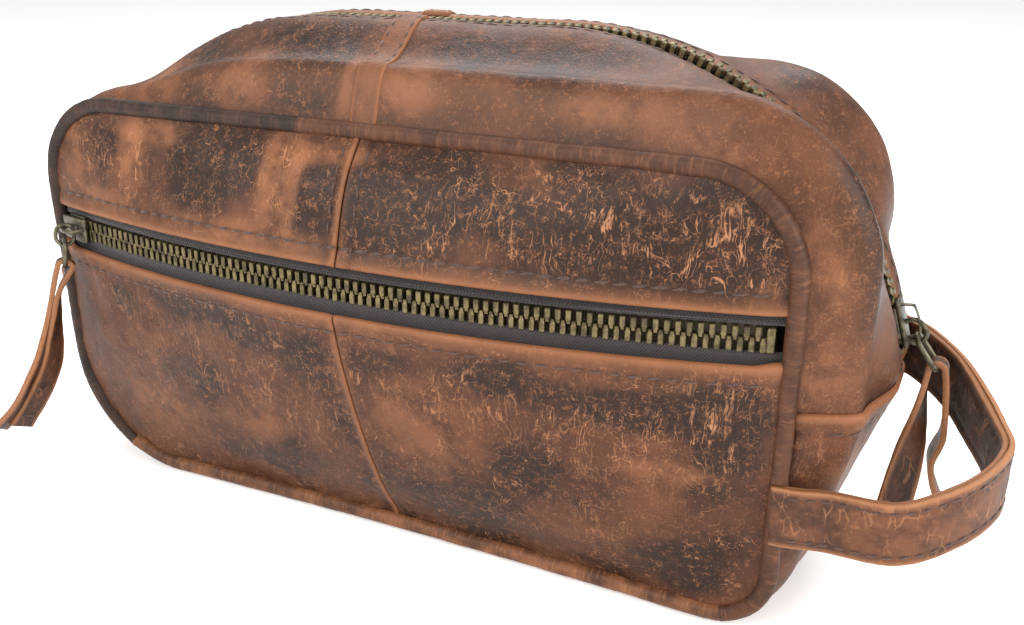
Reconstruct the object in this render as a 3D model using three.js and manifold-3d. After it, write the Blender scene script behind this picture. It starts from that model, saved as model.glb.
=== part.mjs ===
// Leather shaving kit bag, in millimetres. +X runs along the bag to its handle end, +Y to its back,
// +Z up. The origin is on the flat underside, below the middle of the bag.
import * as THREE from 'three';
import { mergeVertices } from 'three/addons/utils/BufferGeometryUtils.js';
import Module from 'manifold-3d';

const wasm = await Module();
wasm.setup();

// Driving dimensions.
const gap = 0.3; // clearance between neighbouring pieces
const leather = 1.4; // thickness of the outer leather
const seam = {
  half: 111.5,
  top: 117.5,
  bottom: 3,
  depth: 34, // from the middle plane
  cornerTop: 25,
  cornerRight: 15,
  cornerLeft: 36,
};
const arch = { right: { x: 41, z: 48.5, r: 95 }, left: { x: 25, z: 36, r: 107.5 } };
const shoulder = {
  high: 16, // how far the top gusset rises above the front seam before it turns over
  backLess: 4, // how much less it rises from the back seam, on the ends
  low: seam.bottom,
  width: 0.25,
  flatFrom: 0.82,
  riseTo: 66,
  slumpEnd: 5,
  slumpCorner: 8,
  endRise: 17.5,
};
const bandTop = 62.5; // height of the base band's upper edge on the ends
const frontZip = { z: 80, r: 415, bulge: 17, half: 6, tapeHalf: 11 };
const mainZip = { half: 5.2, tapeHalf: 12, restAngle: 17, lowAngle: 11 };
const piping = { r: 2.25, wall: 0.75, cord: 0.95, slit: 0.35 };
const stripHalf = 4; // half width of the leather strip over each joint of the top
const lining = { depth: 5.2, wall: 0.6 };
const tape = { depth: 2.66, wall: 0.5 };
const chain = { inner: 0.6, outer: 3, depth: 2.65, half: 1.2 };
const frontRise = [
  [0, 0], [6, 0.3], [13, 3], [28, 8.5], [42, 12.5], [58, 15.8], [72, 18], [80, 17], [90, 14.5], [101, 11],
  [109, 7], [117.5, 0],
];
const backRise = [[0, 0], [20, 5], [60, 12], [95, 9], [117.5, 0]];
const handle = {
  width: 17,
  wall: 1.3,
  path: [
    [123.8, -35, 37.3], [138, -36.3, 38.8], [148, -31.5, 42], [155.6, -23, 45], [158.8, -13, 47.2],
    [156, -4, 49.2], [151.8, 4, 52], [146, 13, 56], [138.9, 21, 58.6], [131.9, 27.5, 59.4],
    [123.8, 33, 58.5],
  ],
};

const smooth = (t) => {
  const c = Math.min(1, Math.max(0, t));
  return c * c * (3 - 2 * c);
};
const mix = (a, b, t) => a + (b - a) * t;

// A smooth curve through a short list of [position, value] pairs.
function profile(points) {
  const curve = new THREE.SplineCurve(points.map(([a, b]) => new THREE.Vector2(a, b)));
  const samples = curve.getPoints(160);
  return (at) => {
    const i = samples.findIndex((p) => p.x >= at);
    if (i <= 0) return samples[i === 0 ? 0 : samples.length - 1].y;
    const before = samples[i - 1];
    return mix(before.y, samples[i].y, (at - before.x) / (samples[i].x - before.x));
  };
}
const frontBulge = profile(frontRise);
const backBulge = profile(backRise);

// The seam outline in the XZ plane, anticlockwise from the middle of the bottom. inset shrinks it.
function outline(inset) {
  const half = seam.half - inset;
  const top = seam.top - inset;
  const bottom = seam.bottom + inset;
  const radii = [seam.cornerRight, seam.cornerTop, seam.cornerTop, seam.cornerLeft].map((r) => r - inset);
  const path = new THREE.Path();
  path.moveTo(0, bottom);
  path.lineTo(half - radii[0], bottom);
  path.absarc(half - radii[0], bottom + radii[0], radii[0], -Math.PI / 2, 0);
  path.lineTo(half, top - radii[1]);
  path.absarc(half - radii[1], top - radii[1], radii[1], 0, Math.PI / 2);
  path.lineTo(radii[2] - half, top);
  path.absarc(radii[2] - half, top - radii[2], radii[2], Math.PI / 2, Math.PI);
  path.lineTo(-half, bottom + radii[3]);
  path.absarc(radii[3] - half, bottom + radii[3], radii[3], Math.PI, 1.5 * Math.PI);
  path.lineTo(0, bottom);
  path.arcLengthDivisions = 1200;
  return path;
}
const seamLine = outline(0);
const tuck = (x, z) => 2 * Math.max(0, 1 - (x / 95) ** 2) * smooth((22 - z) / 18);
// The joint between the two lower front panels leans towards the handle end as it goes down.
const jointX = (z) => 4.5 * smooth((76 - z) / 72);
const seamDepth = (x, z) => seam.depth - tuck(x, z);

// Share of the seam outline, from 0 to 1, at which test first comes true between a and b.
function findShare(a, b, test) {
  let low = a;
  let high = b;
  for (let i = 0; i < 40; i += 1) {
    const middle = (low + high) / 2;
    if (test(seamLine.getPointAt(middle))) high = middle;
    else low = middle;
  }
  return high;
}
const share = {
  rightBand: findShare(0.15, 0.4, (p) => p.y > bandTop),
  topRight: (x) => findShare(0.3, 0.7, (p) => p.x < x),
  leftBand: findShare(0.6, 0.9, (p) => p.y < bandTop),
};

// The point on the seam itself, on the front (side -1) or the back (side 1).
function seamPoint(side, s) {
  const p = seamLine.getPointAt(s - Math.floor(s));
  return new THREE.Vector3(p.x, side * seamDepth(p.x, p.y), p.y);
}
// A stretch of the seam cut into steps that are short where it bends and long where it is straight.
const cutError = 0.2;
function spaced(from, to) {
  const count = 360;
  const points = Array.from({ length: count + 1 }, (_, i) => seamPoint(-1, mix(from, to, i / count)));
  const sums = [0];
  for (let i = 1; i < count; i += 1) {
    const before = points[i].clone().sub(points[i - 1]);
    const after = points[i + 1].clone().sub(points[i]);
    const bend = before.angleTo(after) / before.length();
    sums.push(sums[i - 1] + (Math.sqrt(bend / (8 * cutError)) + 0.012) * before.length());
  }
  sums.push(sums[count - 1]);
  const total = sums[count];
  return {
    steps: Math.ceil(total),
    at: (u) => {
      const i = sums.findIndex((sum) => sum >= Math.min(1, Math.max(0, u)) * total);
      if (i <= 0) return mix(from, to, 0);
      const part = (u * total - sums[i - 1]) / Math.max(1e-9, sums[i] - sums[i - 1]);
      return mix(from, to, (i - 1 + Math.min(1, part)) / count);
    },
  };
}

// Signed distance in the XZ plane to the line that the main zip follows over the bag.
function archDistance(x, z) {
  const end = x > 0 ? arch.right : arch.left;
  const ax = Math.abs(x);
  if (ax < end.x) return z - end.z - end.r;
  if (z < end.z) return ax - end.x - end.r;
  return Math.hypot(ax - end.x, z - end.z) - end.r;
}

function middleRise(p, n) {
  const low = shoulder.low + (shoulder.endRise * (p.y - seam.bottom)) / 58;
  let near = 0;
  let far = 60;
  for (let i = 0; i < 40; i += 1) {
    const at = (near + far) / 2;
    if (archDistance(p.x + n.x * at, p.y + n.y * at) > 0) far = at;
    else near = at;
  }
  return Math.min(near, low);
}

// The gusset between the front seam (side -1) or the back seam (side 1) and the middle plane:
// s is the share of the seam outline and q goes from 0 at the seam to 1 at the middle plane.
function edgeRise(side, p) {
  const corner = smooth((p.y - 85) / 30) * smooth((-p.x - 50) / 50);
  const slump = shoulder.slumpEnd * smooth((-p.x - 20) / 60) + shoulder.slumpCorner * corner;
  const high = shoulder.high - slump - (side > 0 ? shoulder.backLess * smooth((120 - p.y) / 34) : 0);
  return mix(shoulder.low, high, smooth((p.y - seam.bottom) / (shoulder.riseTo - 4)));
}
function gusset(side, s, q) {
  const at = Math.min(1, Math.max(0, s));
  const p = seamLine.getPointAt(at);
  const t = seamLine.getTangentAt(at);
  const n = new THREE.Vector2(t.y, -t.x);
  const rise = middleRise(p, n);
  const edge = edgeRise(side, p);
  const up = Math.sin((Math.PI / 2) * Math.min(1, q / shoulder.width));
  const over = smooth((q - shoulder.width) / (shoulder.flatFrom - shoulder.width));
  const out = edge * up + (rise - edge) * over;
  return new THREE.Vector3(p.x + n.x * out, side * seamDepth(p.x, p.y) * (1 - q), p.y + n.y * out);
}
// The gusset starts just outside the piping, further from the seam where it rises least.
const gussetStart = (side, s) => {
  const p = seamLine.getPointAt(Math.min(1, Math.max(0, s)));
  return mix(0.11, 0.045, smooth((edgeRise(side, p) - shoulder.low) / 10));
};

// A point at a depth below a surface(u, v), on its inner side. facing gives the outward side.
function below(surface, u, v, depth, facing) {
  const e = 0.002;
  const p = surface(u, v);
  const du = surface(u + e, v).sub(surface(u - e, v));
  const dv = surface(u, v + e).sub(surface(u, v - e));
  const n = du.cross(dv).normalize();
  if (n.dot(facing(p)) < 0) n.negate();
  return p.addScaledVector(n, -depth);
}
const fromMiddle = (p) => new THREE.Vector3(p.x / 4, p.y, (p.z - 60) / 2);

// Geometry helpers.
function merged(geometry) {
  geometry.deleteAttribute('normal');
  geometry.deleteAttribute('uv');
  return mergeVertices(geometry, 1e-4);
}
function facedOut(geometry) {
  const p = geometry.attributes.position;
  const index = geometry.index.array;
  const v = [new THREE.Vector3(), new THREE.Vector3(), new THREE.Vector3()];
  let volume = 0;
  for (let i = 0; i < index.length; i += 3) {
    v.forEach((corner, k) => corner.fromBufferAttribute(p, index[i + k]));
    volume += v[0].dot(v[1].clone().cross(v[2]));
  }
  if (volume < 0) {
    for (let i = 0; i < index.length; i += 3) {
      [index[i], index[i + 1]] = [index[i + 1], index[i]];
    }
  }
  geometry.computeVertexNormals();
  return geometry;
}
// A block of nu by nv cells bent to place(u, v, w), each from 0 to 1. w runs through the thickness.
function bent(nu, nv, place) {
  const geometry = merged(new THREE.BoxGeometry(1, 1, 1, nu, nv, 1));
  const p = geometry.attributes.position;
  for (let i = 0; i < p.count; i += 1) {
    const at = place(p.getX(i) + 0.5, p.getY(i) + 0.5, p.getZ(i) + 0.5);
    p.setXYZ(i, at.x, at.y, at.z);
  }
  return facedOut(geometry);
}
// A sheet of one thickness whose outer face lies at a depth below a surface.
function sheet(nu, nv, surface, depth, wall, facing) {
  return bent(nu, nv, (u, v, w) => below(surface, u, v, depth + wall * (1 - w), facing));
}
function toManifold(geometry) {
  const clean = merged(geometry.clone());
  return new wasm.Manifold(
    new wasm.Mesh({
      numProp: 3,
      vertProperties: new Float32Array(clean.attributes.position.array),
      triVerts: new Uint32Array(clean.index.array),
    }),
  );
}
function fromManifold(solid) {
  const mesh = solid.getMesh();
  const geometry = new THREE.BufferGeometry();
  geometry.setAttribute('position', new THREE.BufferAttribute(new Float32Array(mesh.vertProperties), 3));
  geometry.setIndex(new THREE.BufferAttribute(new Uint32Array(mesh.triVerts), 1));
  geometry.computeVertexNormals();
  return geometry;
}
const union = (list) => fromManifold(list.map(toManifold).reduce((a, b) => a.add(b)));
function cut(body, tool) {
  return fromManifold(toManifold(body).subtract(toManifold(tool)));
}

function box(sizeX, sizeY, sizeZ, x, y, z) {
  return new THREE.BoxGeometry(sizeX, sizeY, sizeZ).translate(x, y, z);
}
function plate(points, thickness, z) {
  const shape = new THREE.Shape(points.map(([x, y]) => new THREE.Vector2(x, y)));
  const solid = new THREE.ExtrudeGeometry(shape, { depth: thickness, bevelEnabled: false, steps: 1 });
  return solid.translate(0, 0, z);
}

// Front and back faces.
function frontFace(x, z) {
  const flat = Math.sqrt(frontZip.r ** 2 - x * x);
  const across = 1 - (frontZip.r - flat) / frontZip.bulge;
  const edge = Math.min(seam.half - Math.abs(x), cornerRoom(x, z));
  return -seamDepth(x, z) - frontBulge(z) * across * (1 - Math.exp(-Math.max(0, edge) / 2));
}
// Room left to the rounded corner of the seam outline.
function cornerRoom(x, z) {
  const high = z > 60;
  let r = seam.cornerTop;
  if (!high) r = x > 0 ? seam.cornerRight : seam.cornerLeft;
  const cx = seam.half - r;
  const cz = high ? seam.top - r : seam.bottom + r;
  const dx = Math.abs(x) - cx;
  const dz = high ? z - cz : cz - z;
  return dx > 0 && dz > 0 ? r - Math.hypot(dx, dz) : seam.half;
}
function backFace(x, z) {
  const across = Math.max(0, 1 - (x / seam.half) ** 2) ** 0.75;
  return seamDepth(x, z) + backBulge(z) * across;
}
const panelInset = piping.r + gap + 0.1;
// How far the seam outline reaches in X at a height, on the side given by sign.
function reach(z, sign, inset) {
  const high = z > 60;
  let r = seam.cornerTop;
  if (!high) r = sign > 0 ? seam.cornerRight : seam.cornerLeft;
  r -= inset;
  const half = seam.half - inset;
  const cz = high ? seam.top - inset - r : seam.bottom + inset + r;
  const dz = high ? z - cz : cz - z;
  return sign * (dz > 0 ? half - r + Math.sqrt(Math.max(0, r * r - dz * dz)) : half);
}
// A panel between two heights and two sides. Its rows crowd towards the rounded corners.
function panel(face, zLow, zHigh, left, right, inset) {
  let row = zHigh > 100 ? (v) => Math.sin((Math.PI / 2) * v) : (v) => v ** 1.3;
  if (zLow < 20 && zHigh > 100) row = (v) => (1 - Math.cos(Math.PI * v)) / 2;
  return (u, v) => {
    const z = mix(zLow, zHigh, row(Math.min(1, Math.max(0, v))));
    const x0 = left === null ? reach(z, -1, inset) : left(z);
    const x1 = right === null ? reach(z, 1, inset) : right(z);
    const x = mix(x0, x1, u);
    return new THREE.Vector3(x, face(x, z), z);
  };
}
// A panel's thickness is taken straight through, along Y.
function panelSheet(nu, nv, surface, depth, wall, sign) {
  return bent(nu, nv, (u, v, w) => {
    const p = surface(u, v);
    p.y += sign * (depth + wall * (1 - w));
    return p;
  });
}

// Materials, one for each sub-part.
function paint(color, roughness, metalness = 0) {
  return new THREE.MeshStandardMaterial({ color, roughness, metalness });
}
const group = new THREE.Group();
group.name = 'shaving_kit_bag';
function add(name, geometry, material, parent = group) {
  const mesh = new THREE.Mesh(geometry, material);
  mesh.name = name;
  parent.add(mesh);
  return mesh;
}

// Front panels, each pieced at the middle.
const leftOfJoint = (z) => jointX(z) - gap / 2;
const rightOfJoint = (z) => jointX(z) + gap / 2;
const windowLow = frontZip.z - frontZip.half;
const windowHigh = frontZip.z + frontZip.half;
const panelLow = seam.bottom + panelInset;
const panelHigh = seam.top - panelInset;
add(
  'front_upper_left_panel',
  panelSheet(9, 5, panel(frontFace, windowHigh, panelHigh, null, leftOfJoint, panelInset), 0, leather, 1),
  paint(0x6b4630, 0.5),
);
add(
  'front_upper_right_panel',
  panelSheet(9, 5, panel(frontFace, windowHigh, panelHigh, rightOfJoint, null, panelInset), 0, leather, 1),
  paint(0x64402c, 0.5),
);
add(
  'front_lower_left_panel',
  panelSheet(9, 9, panel(frontFace, panelLow, windowLow, null, leftOfJoint, panelInset), 0, leather, 1),
  paint(0x69432c, 0.5),
);
add(
  'front_lower_right_panel',
  panelSheet(9, 9, panel(frontFace, panelLow, windowLow, rightOfJoint, null, panelInset), 0, leather, 1),
  paint(0x714a33, 0.5),
);
add(
  'back_left_panel',
  panelSheet(8, 8, panel(backFace, panelLow, panelHigh, null, leftOfJoint, panelInset), 0, leather, -1),
  paint(0x6a4530, 0.5),
);
add(
  'back_right_panel',
  panelSheet(8, 8, panel(backFace, panelLow, panelHigh, rightOfJoint, null, panelInset), 0, leather, -1),
  paint(0x65412d, 0.5),
);

// Top gussets: a left and a right piece in front of the main zip and behind it, and the strip
// that covers each joint.
const zipEdge = 1 - mainZip.half / seam.depth;
function gussetPiece(side, from, to, q1) {
  return (u, v) => {
    const s = mix(from, to, u);
    return gusset(side, s, mix(gussetStart(side, s), q1, v));
  };
}
const bandGap = 0.0012;
[['front', -1], ['back', 1]].forEach(([word, side]) => {
  const rightPiece = gussetPiece(side, share.rightBand + bandGap, share.topRight(stripHalf + gap), zipEdge);
  const leftPiece = gussetPiece(side, share.topRight(-stripHalf - gap), share.leftBand - bandGap, zipEdge);
  const strip = gussetPiece(side, share.topRight(stripHalf), share.topRight(-stripHalf), zipEdge);
  add(`top_${word}_right_gusset`, sheet(14, 6, rightPiece, 0, leather, fromMiddle), paint(0x6e4a36, 0.45));
  add(`top_${word}_left_gusset`, sheet(14, 6, leftPiece, 0, leather, fromMiddle), paint(0x6a4631, 0.45));
  add(`top_${word}_strip`, sheet(1, 6, strip, -0.4, leather + 0.4, fromMiddle), paint(0x70482f, 0.5));
});

// Base band: one strip from the right end, under the bag, to the left end.
const baseRun = spaced(share.leftBand + bandGap, 1 + share.rightBand - bandGap);
const baseShare = (u) => baseRun.at(u) - Math.floor(baseRun.at(u));
// u follows the band; v goes from the front seam across the middle plane to the back seam.
function bandPoint(u, v) {
  const s = baseShare(Math.min(1, Math.max(0, u)));
  const side = v < 0.5 ? -1 : 1;
  const start = gussetStart(side, s);
  return gusset(side, s, mix(start, 1, 1 - Math.abs(2 * v - 1)));
}
add(
  'base_gusset',
  sheet(26, 8, bandPoint, 0, leather, (p) => new THREE.Vector3(p.x, 0, (p.z - 45) * 3)),
  paint(0x6c4530, 0.5),
);

// Piping: a leather cover wrapped round a cord, sewn into each seam and open along its slit.
function pipeFrame(side, s) {
  const t = seamLine.getTangentAt(s - Math.floor(s));
  const out = new THREE.Vector3(t.y, 0, -t.x);
  return { centre: seamPoint(side, s), out, across: new THREE.Vector3(0, side, 0) };
}
function pipeCover(side, from, to) {
  const turn = 2 * Math.PI - 2 * piping.slit;
  const run = spaced(from, to);
  return bent(run.steps, 7, (u, v, w) => {
    const f = pipeFrame(side, run.at(u));
    const a = Math.PI + piping.slit + turn * v;
    const r = piping.r - piping.wall * (1 - w);
    return f.centre
      .clone()
      .addScaledVector(f.out, r * Math.cos(a))
      .addScaledVector(f.across, r * Math.sin(a));
  });
}
function pipeCord(side) {
  const run = spaced(0.0005, 0.9995);
  const sides = 6;
  const round = merged(new THREE.CylinderGeometry(piping.cord, piping.cord, 1, sides, run.steps));
  const p = round.attributes.position;
  for (let i = 0; i < p.count; i += 1) {
    const f = pipeFrame(side, run.at(p.getY(i) + 0.5));
    const at = f.centre.addScaledVector(f.out, p.getX(i)).addScaledVector(f.across, p.getZ(i));
    p.setXYZ(i, at.x, at.y, at.z);
  }
  return facedOut(round);
}
const pipeGap = 0.0005;
const pipeJoint = share.topRight(-18);
const cornerShare = (x, low, high) => findShare(low, high, (p) => p.x < x);
const baseFrom = cornerShare(-93, 0.7, 0.99);
const baseTo = findShare(0.02, 0.25, (p) => p.x > 100);
add('front_piping_right', pipeCover(-1, baseTo + pipeGap, pipeJoint - pipeGap), paint(0x6d4730, 0.5));
add('front_piping_left', pipeCover(-1, pipeJoint + pipeGap, baseFrom - pipeGap), paint(0x4a3a32, 0.5));
add('front_piping_base', pipeCover(-1, baseFrom + pipeGap, 1 + baseTo - pipeGap), paint(0x8a5a36, 0.5));
add('back_piping_upper', pipeCover(1, baseTo + pipeGap, baseFrom - pipeGap), paint(0x5e4130, 0.5));
add('back_piping_base', pipeCover(1, baseFrom + pipeGap, 1 + baseTo - pipeGap), paint(0x84562f, 0.5));
add('front_piping_cord', pipeCord(-1), paint(0xb9a78c, 0.9));
add('back_piping_cord', pipeCord(1), paint(0xb9a78c, 0.9));

// Lining: a bag of cloth inside the leather, open along the main zip, and the wall of the front pocket.
const liningLow = 10;
const liningHigh = 110;
const liningInset = 7;
const pocketWall = (x, z) => -seamDepth(x, z) + 2.4;
const liningFace = (x, z) => -seamDepth(x, z) + 4.8;
const liningBack = (x, z) => seamDepth(x, z) - 3;
const liner = paint(0x8f7a5c, 0.9);
add(
  'front_pocket_lining',
  panelSheet(6, 5, panel(pocketWall, liningLow, liningHigh, null, null, liningInset), 0, 0.6, 1),
  paint(0x8a7658, 0.9),
);
add(
  'lining_front',
  panelSheet(6, 5, panel(liningFace, liningLow, liningHigh, null, null, liningInset), 0, 0.6, 1),
  liner.clone(),
);
add(
  'lining_back',
  panelSheet(6, 5, panel(liningBack, liningLow, liningHigh, null, null, liningInset), 0, 0.6, -1),
  liner.clone(),
);
function liningTop(side) {
  return (u, v) => {
    const s = mix(share.rightBand + 0.01, share.leftBand - 0.01, u);
    return gusset(side, s, mix(0.34, 1 - 5 / seam.depth, v));
  };
}
add('lining_top_front', sheet(20, 3, liningTop(-1), lining.depth, lining.wall, fromMiddle), liner.clone());
add('lining_top_back', sheet(20, 3, liningTop(1), lining.depth, lining.wall, fromMiddle), liner.clone());
function liningBase(u, v) {
  const from = share.leftBand + 0.01;
  const s = mix(from, 1 + share.rightBand - 0.01, u);
  const at = s > 1 ? s - 1 : s;
  const side = v < 0.5 ? -1 : 1;
  return gusset(side, at, mix(0.3, 1, 1 - Math.abs(2 * v - 1)));
}
add(
  'lining_base',
  sheet(18, 4, liningBase, 4, lining.wall, (p) => new THREE.Vector3(p.x, 0, (p.z - 45) * 3)),
  liner.clone(),
);

// Front zip: two tapes, two rows of teeth, a stop at each end, and the slider with its link and pull.
const fabric = () => paint(0x3c3032, 0.9);
const brass = () => paint(0x8a7a45, 0.4, 0.9);
const bronze = () => paint(0x6d6a55, 0.4, 0.9);
const zipReach = 106;
// A point of the front zip: x along it, h above its middle line, depth behind the leather's face.
function frontZipPoint(x, h, depth) {
  const own = -Math.sqrt((frontZip.r - depth) ** 2 - x * x) + frontZip.r - seam.depth - frontZip.bulge;
  const fall = frontFace(x, frontZip.z + h) - frontFace(x, frontZip.z);
  return new THREE.Vector3(x, own + (Math.abs(h) > chain.outer + gap ? fall : 0), frontZip.z + h);
}
function frontZipStrip(steps, rows, h0, h1, depth0, depth1, x0 = -zipReach, x1 = zipReach) {
  return bent(steps, rows, (u, v, w) => {
    const depth = mix(depth0, depth1, w);
    return frontZipPoint(mix(x0, x1, u), mix(h0, h1, v), depth);
  });
}
const tapeInner = chain.outer + gap;
const tapeFar = tape.depth + tape.wall;
const chainNear = chain.depth - chain.half;
const chainFar = chain.depth + chain.half;
[['upper', 1], ['lower', -1]].forEach(([word, sign]) => {
  const edge = sign * frontZip.tapeHalf;
  add(
    `front_zip_tape_${word}`,
    frontZipStrip(20, 3, sign * tapeInner, edge, tape.depth, tapeFar),
    fabric(),
  );
  add(
    `front_zip_teeth_${word}`,
    frontZipStrip(28, 1, sign * chain.inner, sign * chain.outer, chainNear, chainFar, -102, 101),
    brass(),
  );
});
add(
  'front_zip_end_stop',
  frontZipStrip(1, 1, -chain.outer, chain.outer, chainNear, chainFar, 101.4, 103.4),
  brass(),
);

// Main zip, over the bag along its middle plane.
function mainZipStrip(steps, rows, side, y0, y1, depth0, depth1, s0, s1) {
  const surface = (u, v) => {
    const y = mix(y0, y1, v);
    return gusset(side, mix(s0, s1, u), 1 - y / seam.depth);
  };
  return bent(steps, rows, (u, v, w) => below(surface, u, v, mix(depth0, depth1, w), fromMiddle));
}
// Share of the seam outline that lies opposite the point of the zip at a height on the right end.
function shareAt(test, low, high) {
  let a = low;
  let b = high;
  for (let i = 0; i < 40; i += 1) {
    const middle = (a + b) / 2;
    if (test(gusset(-1, middle, 1))) b = middle;
    else a = middle;
  }
  return b;
}
const lowZ = arch.right.z + arch.right.r * Math.sin(THREE.MathUtils.degToRad(mainZip.lowAngle));
const zipFrom = shareAt((p) => p.z > lowZ, 0.1, 0.4);
const zipTo = shareAt((p) => p.z < lowZ, 0.6, 0.9);
const stopShare = 0.004;
const teethFrom = zipFrom + stopShare;
const teethTo = zipTo - stopShare;
[['front', -1], ['back', 1]].forEach(([word, side]) => {
  add(
    `main_zip_tape_${word}`,
    mainZipStrip(40, 3, side, tapeInner, mainZip.tapeHalf, tape.depth, tapeFar, zipFrom, zipTo),
    fabric(),
  );
  add(
    `main_zip_teeth_${word}`,
    mainZipStrip(44, 1, side, chain.inner, chain.outer, chainNear, chainFar, teethFrom, teethTo),
    brass(),
  );
});
const endStop = bent(1, 2, (u, v, w) => {
  const across = (b) => 1 - (Math.abs(2 * b - 1) * chain.outer) / seam.depth;
  const surface = (a, b) => gusset(b < 0.5 ? -1 : 1, mix(teethTo + 0.0006, zipTo, a), across(b));
  return below(surface, u, v, mix(chainNear, chainFar, w), fromMiddle);
});
add('main_zip_end_stop', endStop, brass());

// A zip slider in its own frame: X along its travel, towards its wide end, Y across, Z outwards.
const slider = {
  long: 12,
  wide: 9.4,
  plate: 1.15,
  clear: 0.5, // above and below the teeth
  lip: 1.1,
  bar: 5.7, // height of the crown's bar over the middle of the chain
  barHalf: 0.55,
  crown: 1.1,
};
function sliderBody() {
  const half = slider.long / 2;
  const wide = slider.wide / 2;
  const face = chain.half + slider.clear;
  const shape = [
    [-half, -wide + 1.3], [-half + 1, -wide + 0.4], [half - 2.2, -wide], [half - 0.4, -wide + 1.4],
    [half, -1], [half, 1], [half - 0.4, wide - 1.4], [half - 2.2, wide],
    [-half + 1, wide - 0.4], [-half, wide - 1.3],
  ];
  const parts = [plate(shape, slider.plate, face), plate(shape, slider.plate, -face - slider.plate)];
  const lipHeight = face + 0.2 - slider.lip;
  [-1, 1].forEach((side) => {
    [-1, 1].forEach((level) => {
      const z = level * (slider.lip + lipHeight / 2);
      parts.push(box(slider.long - 4, 0.7, lipHeight, -0.6, side * (wide - 0.75), z));
    });
  });
  parts.push(box(2.2, 0.55, 2 * face + 0.4, half - 1.3, 0, 0));
  const top = slider.bar + slider.barHalf;
  const crown = new THREE.Shape([
    [-4.8, face + 0.6], [-4.8, top - 1.6], [-3.2, top], [3.2, top], [4.8, top - 1.6], [4.8, face + 0.6],
    [3.8, face + 0.6], [3.8, slider.bar - 1.2], [3.1, slider.bar - slider.barHalf],
    [-3.1, slider.bar - slider.barHalf], [-3.8, slider.bar - 1.2], [-3.8, face + 0.6],
  ].map(([x, y]) => new THREE.Vector2(x, y)));
  const arc = new THREE.ExtrudeGeometry(crown, { depth: slider.crown, bevelEnabled: false, steps: 1 });
  parts.push(arc.rotateX(Math.PI / 2).translate(0, slider.crown / 2, 0));
  return union(parts);
}
// The metal link: an oblong ring of square wire. Its pivot end is at the origin and it hangs to -Z.
const link = { long: 12.6, wide: 7.2, wire: 1 };
function linkRing(above) {
  const ring = box(link.wire, link.wide, link.long + link.wire, 0, 0, above - link.long / 2);
  const inside = link.wide - 2 * link.wire;
  const hole = box(2 * link.wire, inside, link.long - link.wire, 0, 0, above - link.long / 2);
  return cut(ring, hole);
}
// A leather pull: a strip folded round the link's lower bar, with two tails. Paths are [out, up]
// pairs in the pull's own plane, from the fold at the origin.
const foldWidth = 3.4; // where the leather is gathered through the link
function leatherPull(width, paths) {
  const eye = new THREE.Shape();
  eye.absarc(0, 0, 2.7, 0, 2 * Math.PI);
  const hole = new THREE.Path();
  hole.absarc(0, 0, 1.3, 0, 2 * Math.PI);
  eye.holes.push(hole);
  const fold = new THREE.ExtrudeGeometry(eye, { depth: foldWidth, bevelEnabled: false, curveSegments: 8 });
  const parts = [fold.rotateX(Math.PI / 2).translate(0, foldWidth / 2, 0)];
  paths.forEach((points) => {
    const curve = new THREE.SplineCurve(points.map(([a, b]) => new THREE.Vector2(a, b)));
    parts.push(
      bent(10, 1, (u, v, w) => {
        const at = curve.getPointAt(u);
        const t = curve.getTangentAt(u);
        const off = (w - 0.5) * 1.9;
        const tip = u > 0.9 ? mix(1, 0.35, (u - 0.9) / 0.1) : 1;
        const wide = mix(foldWidth - 0.2, width, smooth((u - 0.08) / 0.22)) * tip;
        return new THREE.Vector3(at.x - t.y * off, (v - 0.5) * wide, at.y + t.x * off);
      }),
    );
  });
  return union(parts);
}

// Main slider at rest near the right end of the zip, its wide end down.
const restAngle = THREE.MathUtils.degToRad(mainZip.restAngle);
const chainR = arch.right.r - chain.depth;
const mainSlider = new THREE.Group();
mainSlider.position.set(
  arch.right.x + chainR * Math.cos(restAngle),
  0,
  arch.right.z + chainR * Math.sin(restAngle),
);
mainSlider.rotation.y = Math.PI / 2 - restAngle;
group.add(mainSlider);
add('main_zip_slider', sliderBody(), bronze(), mainSlider);
const mainOut = new THREE.Vector3(Math.cos(restAngle), 0, Math.sin(restAngle));
const mainTravel = new THREE.Vector3(Math.sin(restAngle), 0, -Math.cos(restAngle));
const mainLean = THREE.MathUtils.degToRad(37); // how far the resting link leans out from the vertical
const mainLink = new THREE.Group();
const mainHook = { out: 3.9, along: 1.3 }; // where the link hangs in the slider's crown
mainLink.position
  .copy(mainSlider.position)
  .addScaledVector(mainOut, mainHook.out)
  .addScaledVector(mainTravel, mainHook.along);
mainLink.rotation.y = -mainLean;
group.add(mainLink);
add('main_zip_link', linkRing(0), bronze(), mainLink);
const mainFold = new THREE.Vector3(0, 0, -link.long).applyEuler(mainLink.rotation).add(mainLink.position);
const mainPull = new THREE.Group();
mainPull.position.copy(mainFold);
group.add(mainPull);
add(
  'main_zip_pull',
  leatherPull(9, [
    [[1.6, 0.6], [2.6, -10], [1.2, -22], [1.8, -33], [4.6, -42]],
    [[-1.6, -0.6], [-1.8, -14], [-3, -28], [-5.2, -39]],
  ]),
  paint(0x4a2f22, 0.6),
  mainPull,
);

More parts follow.
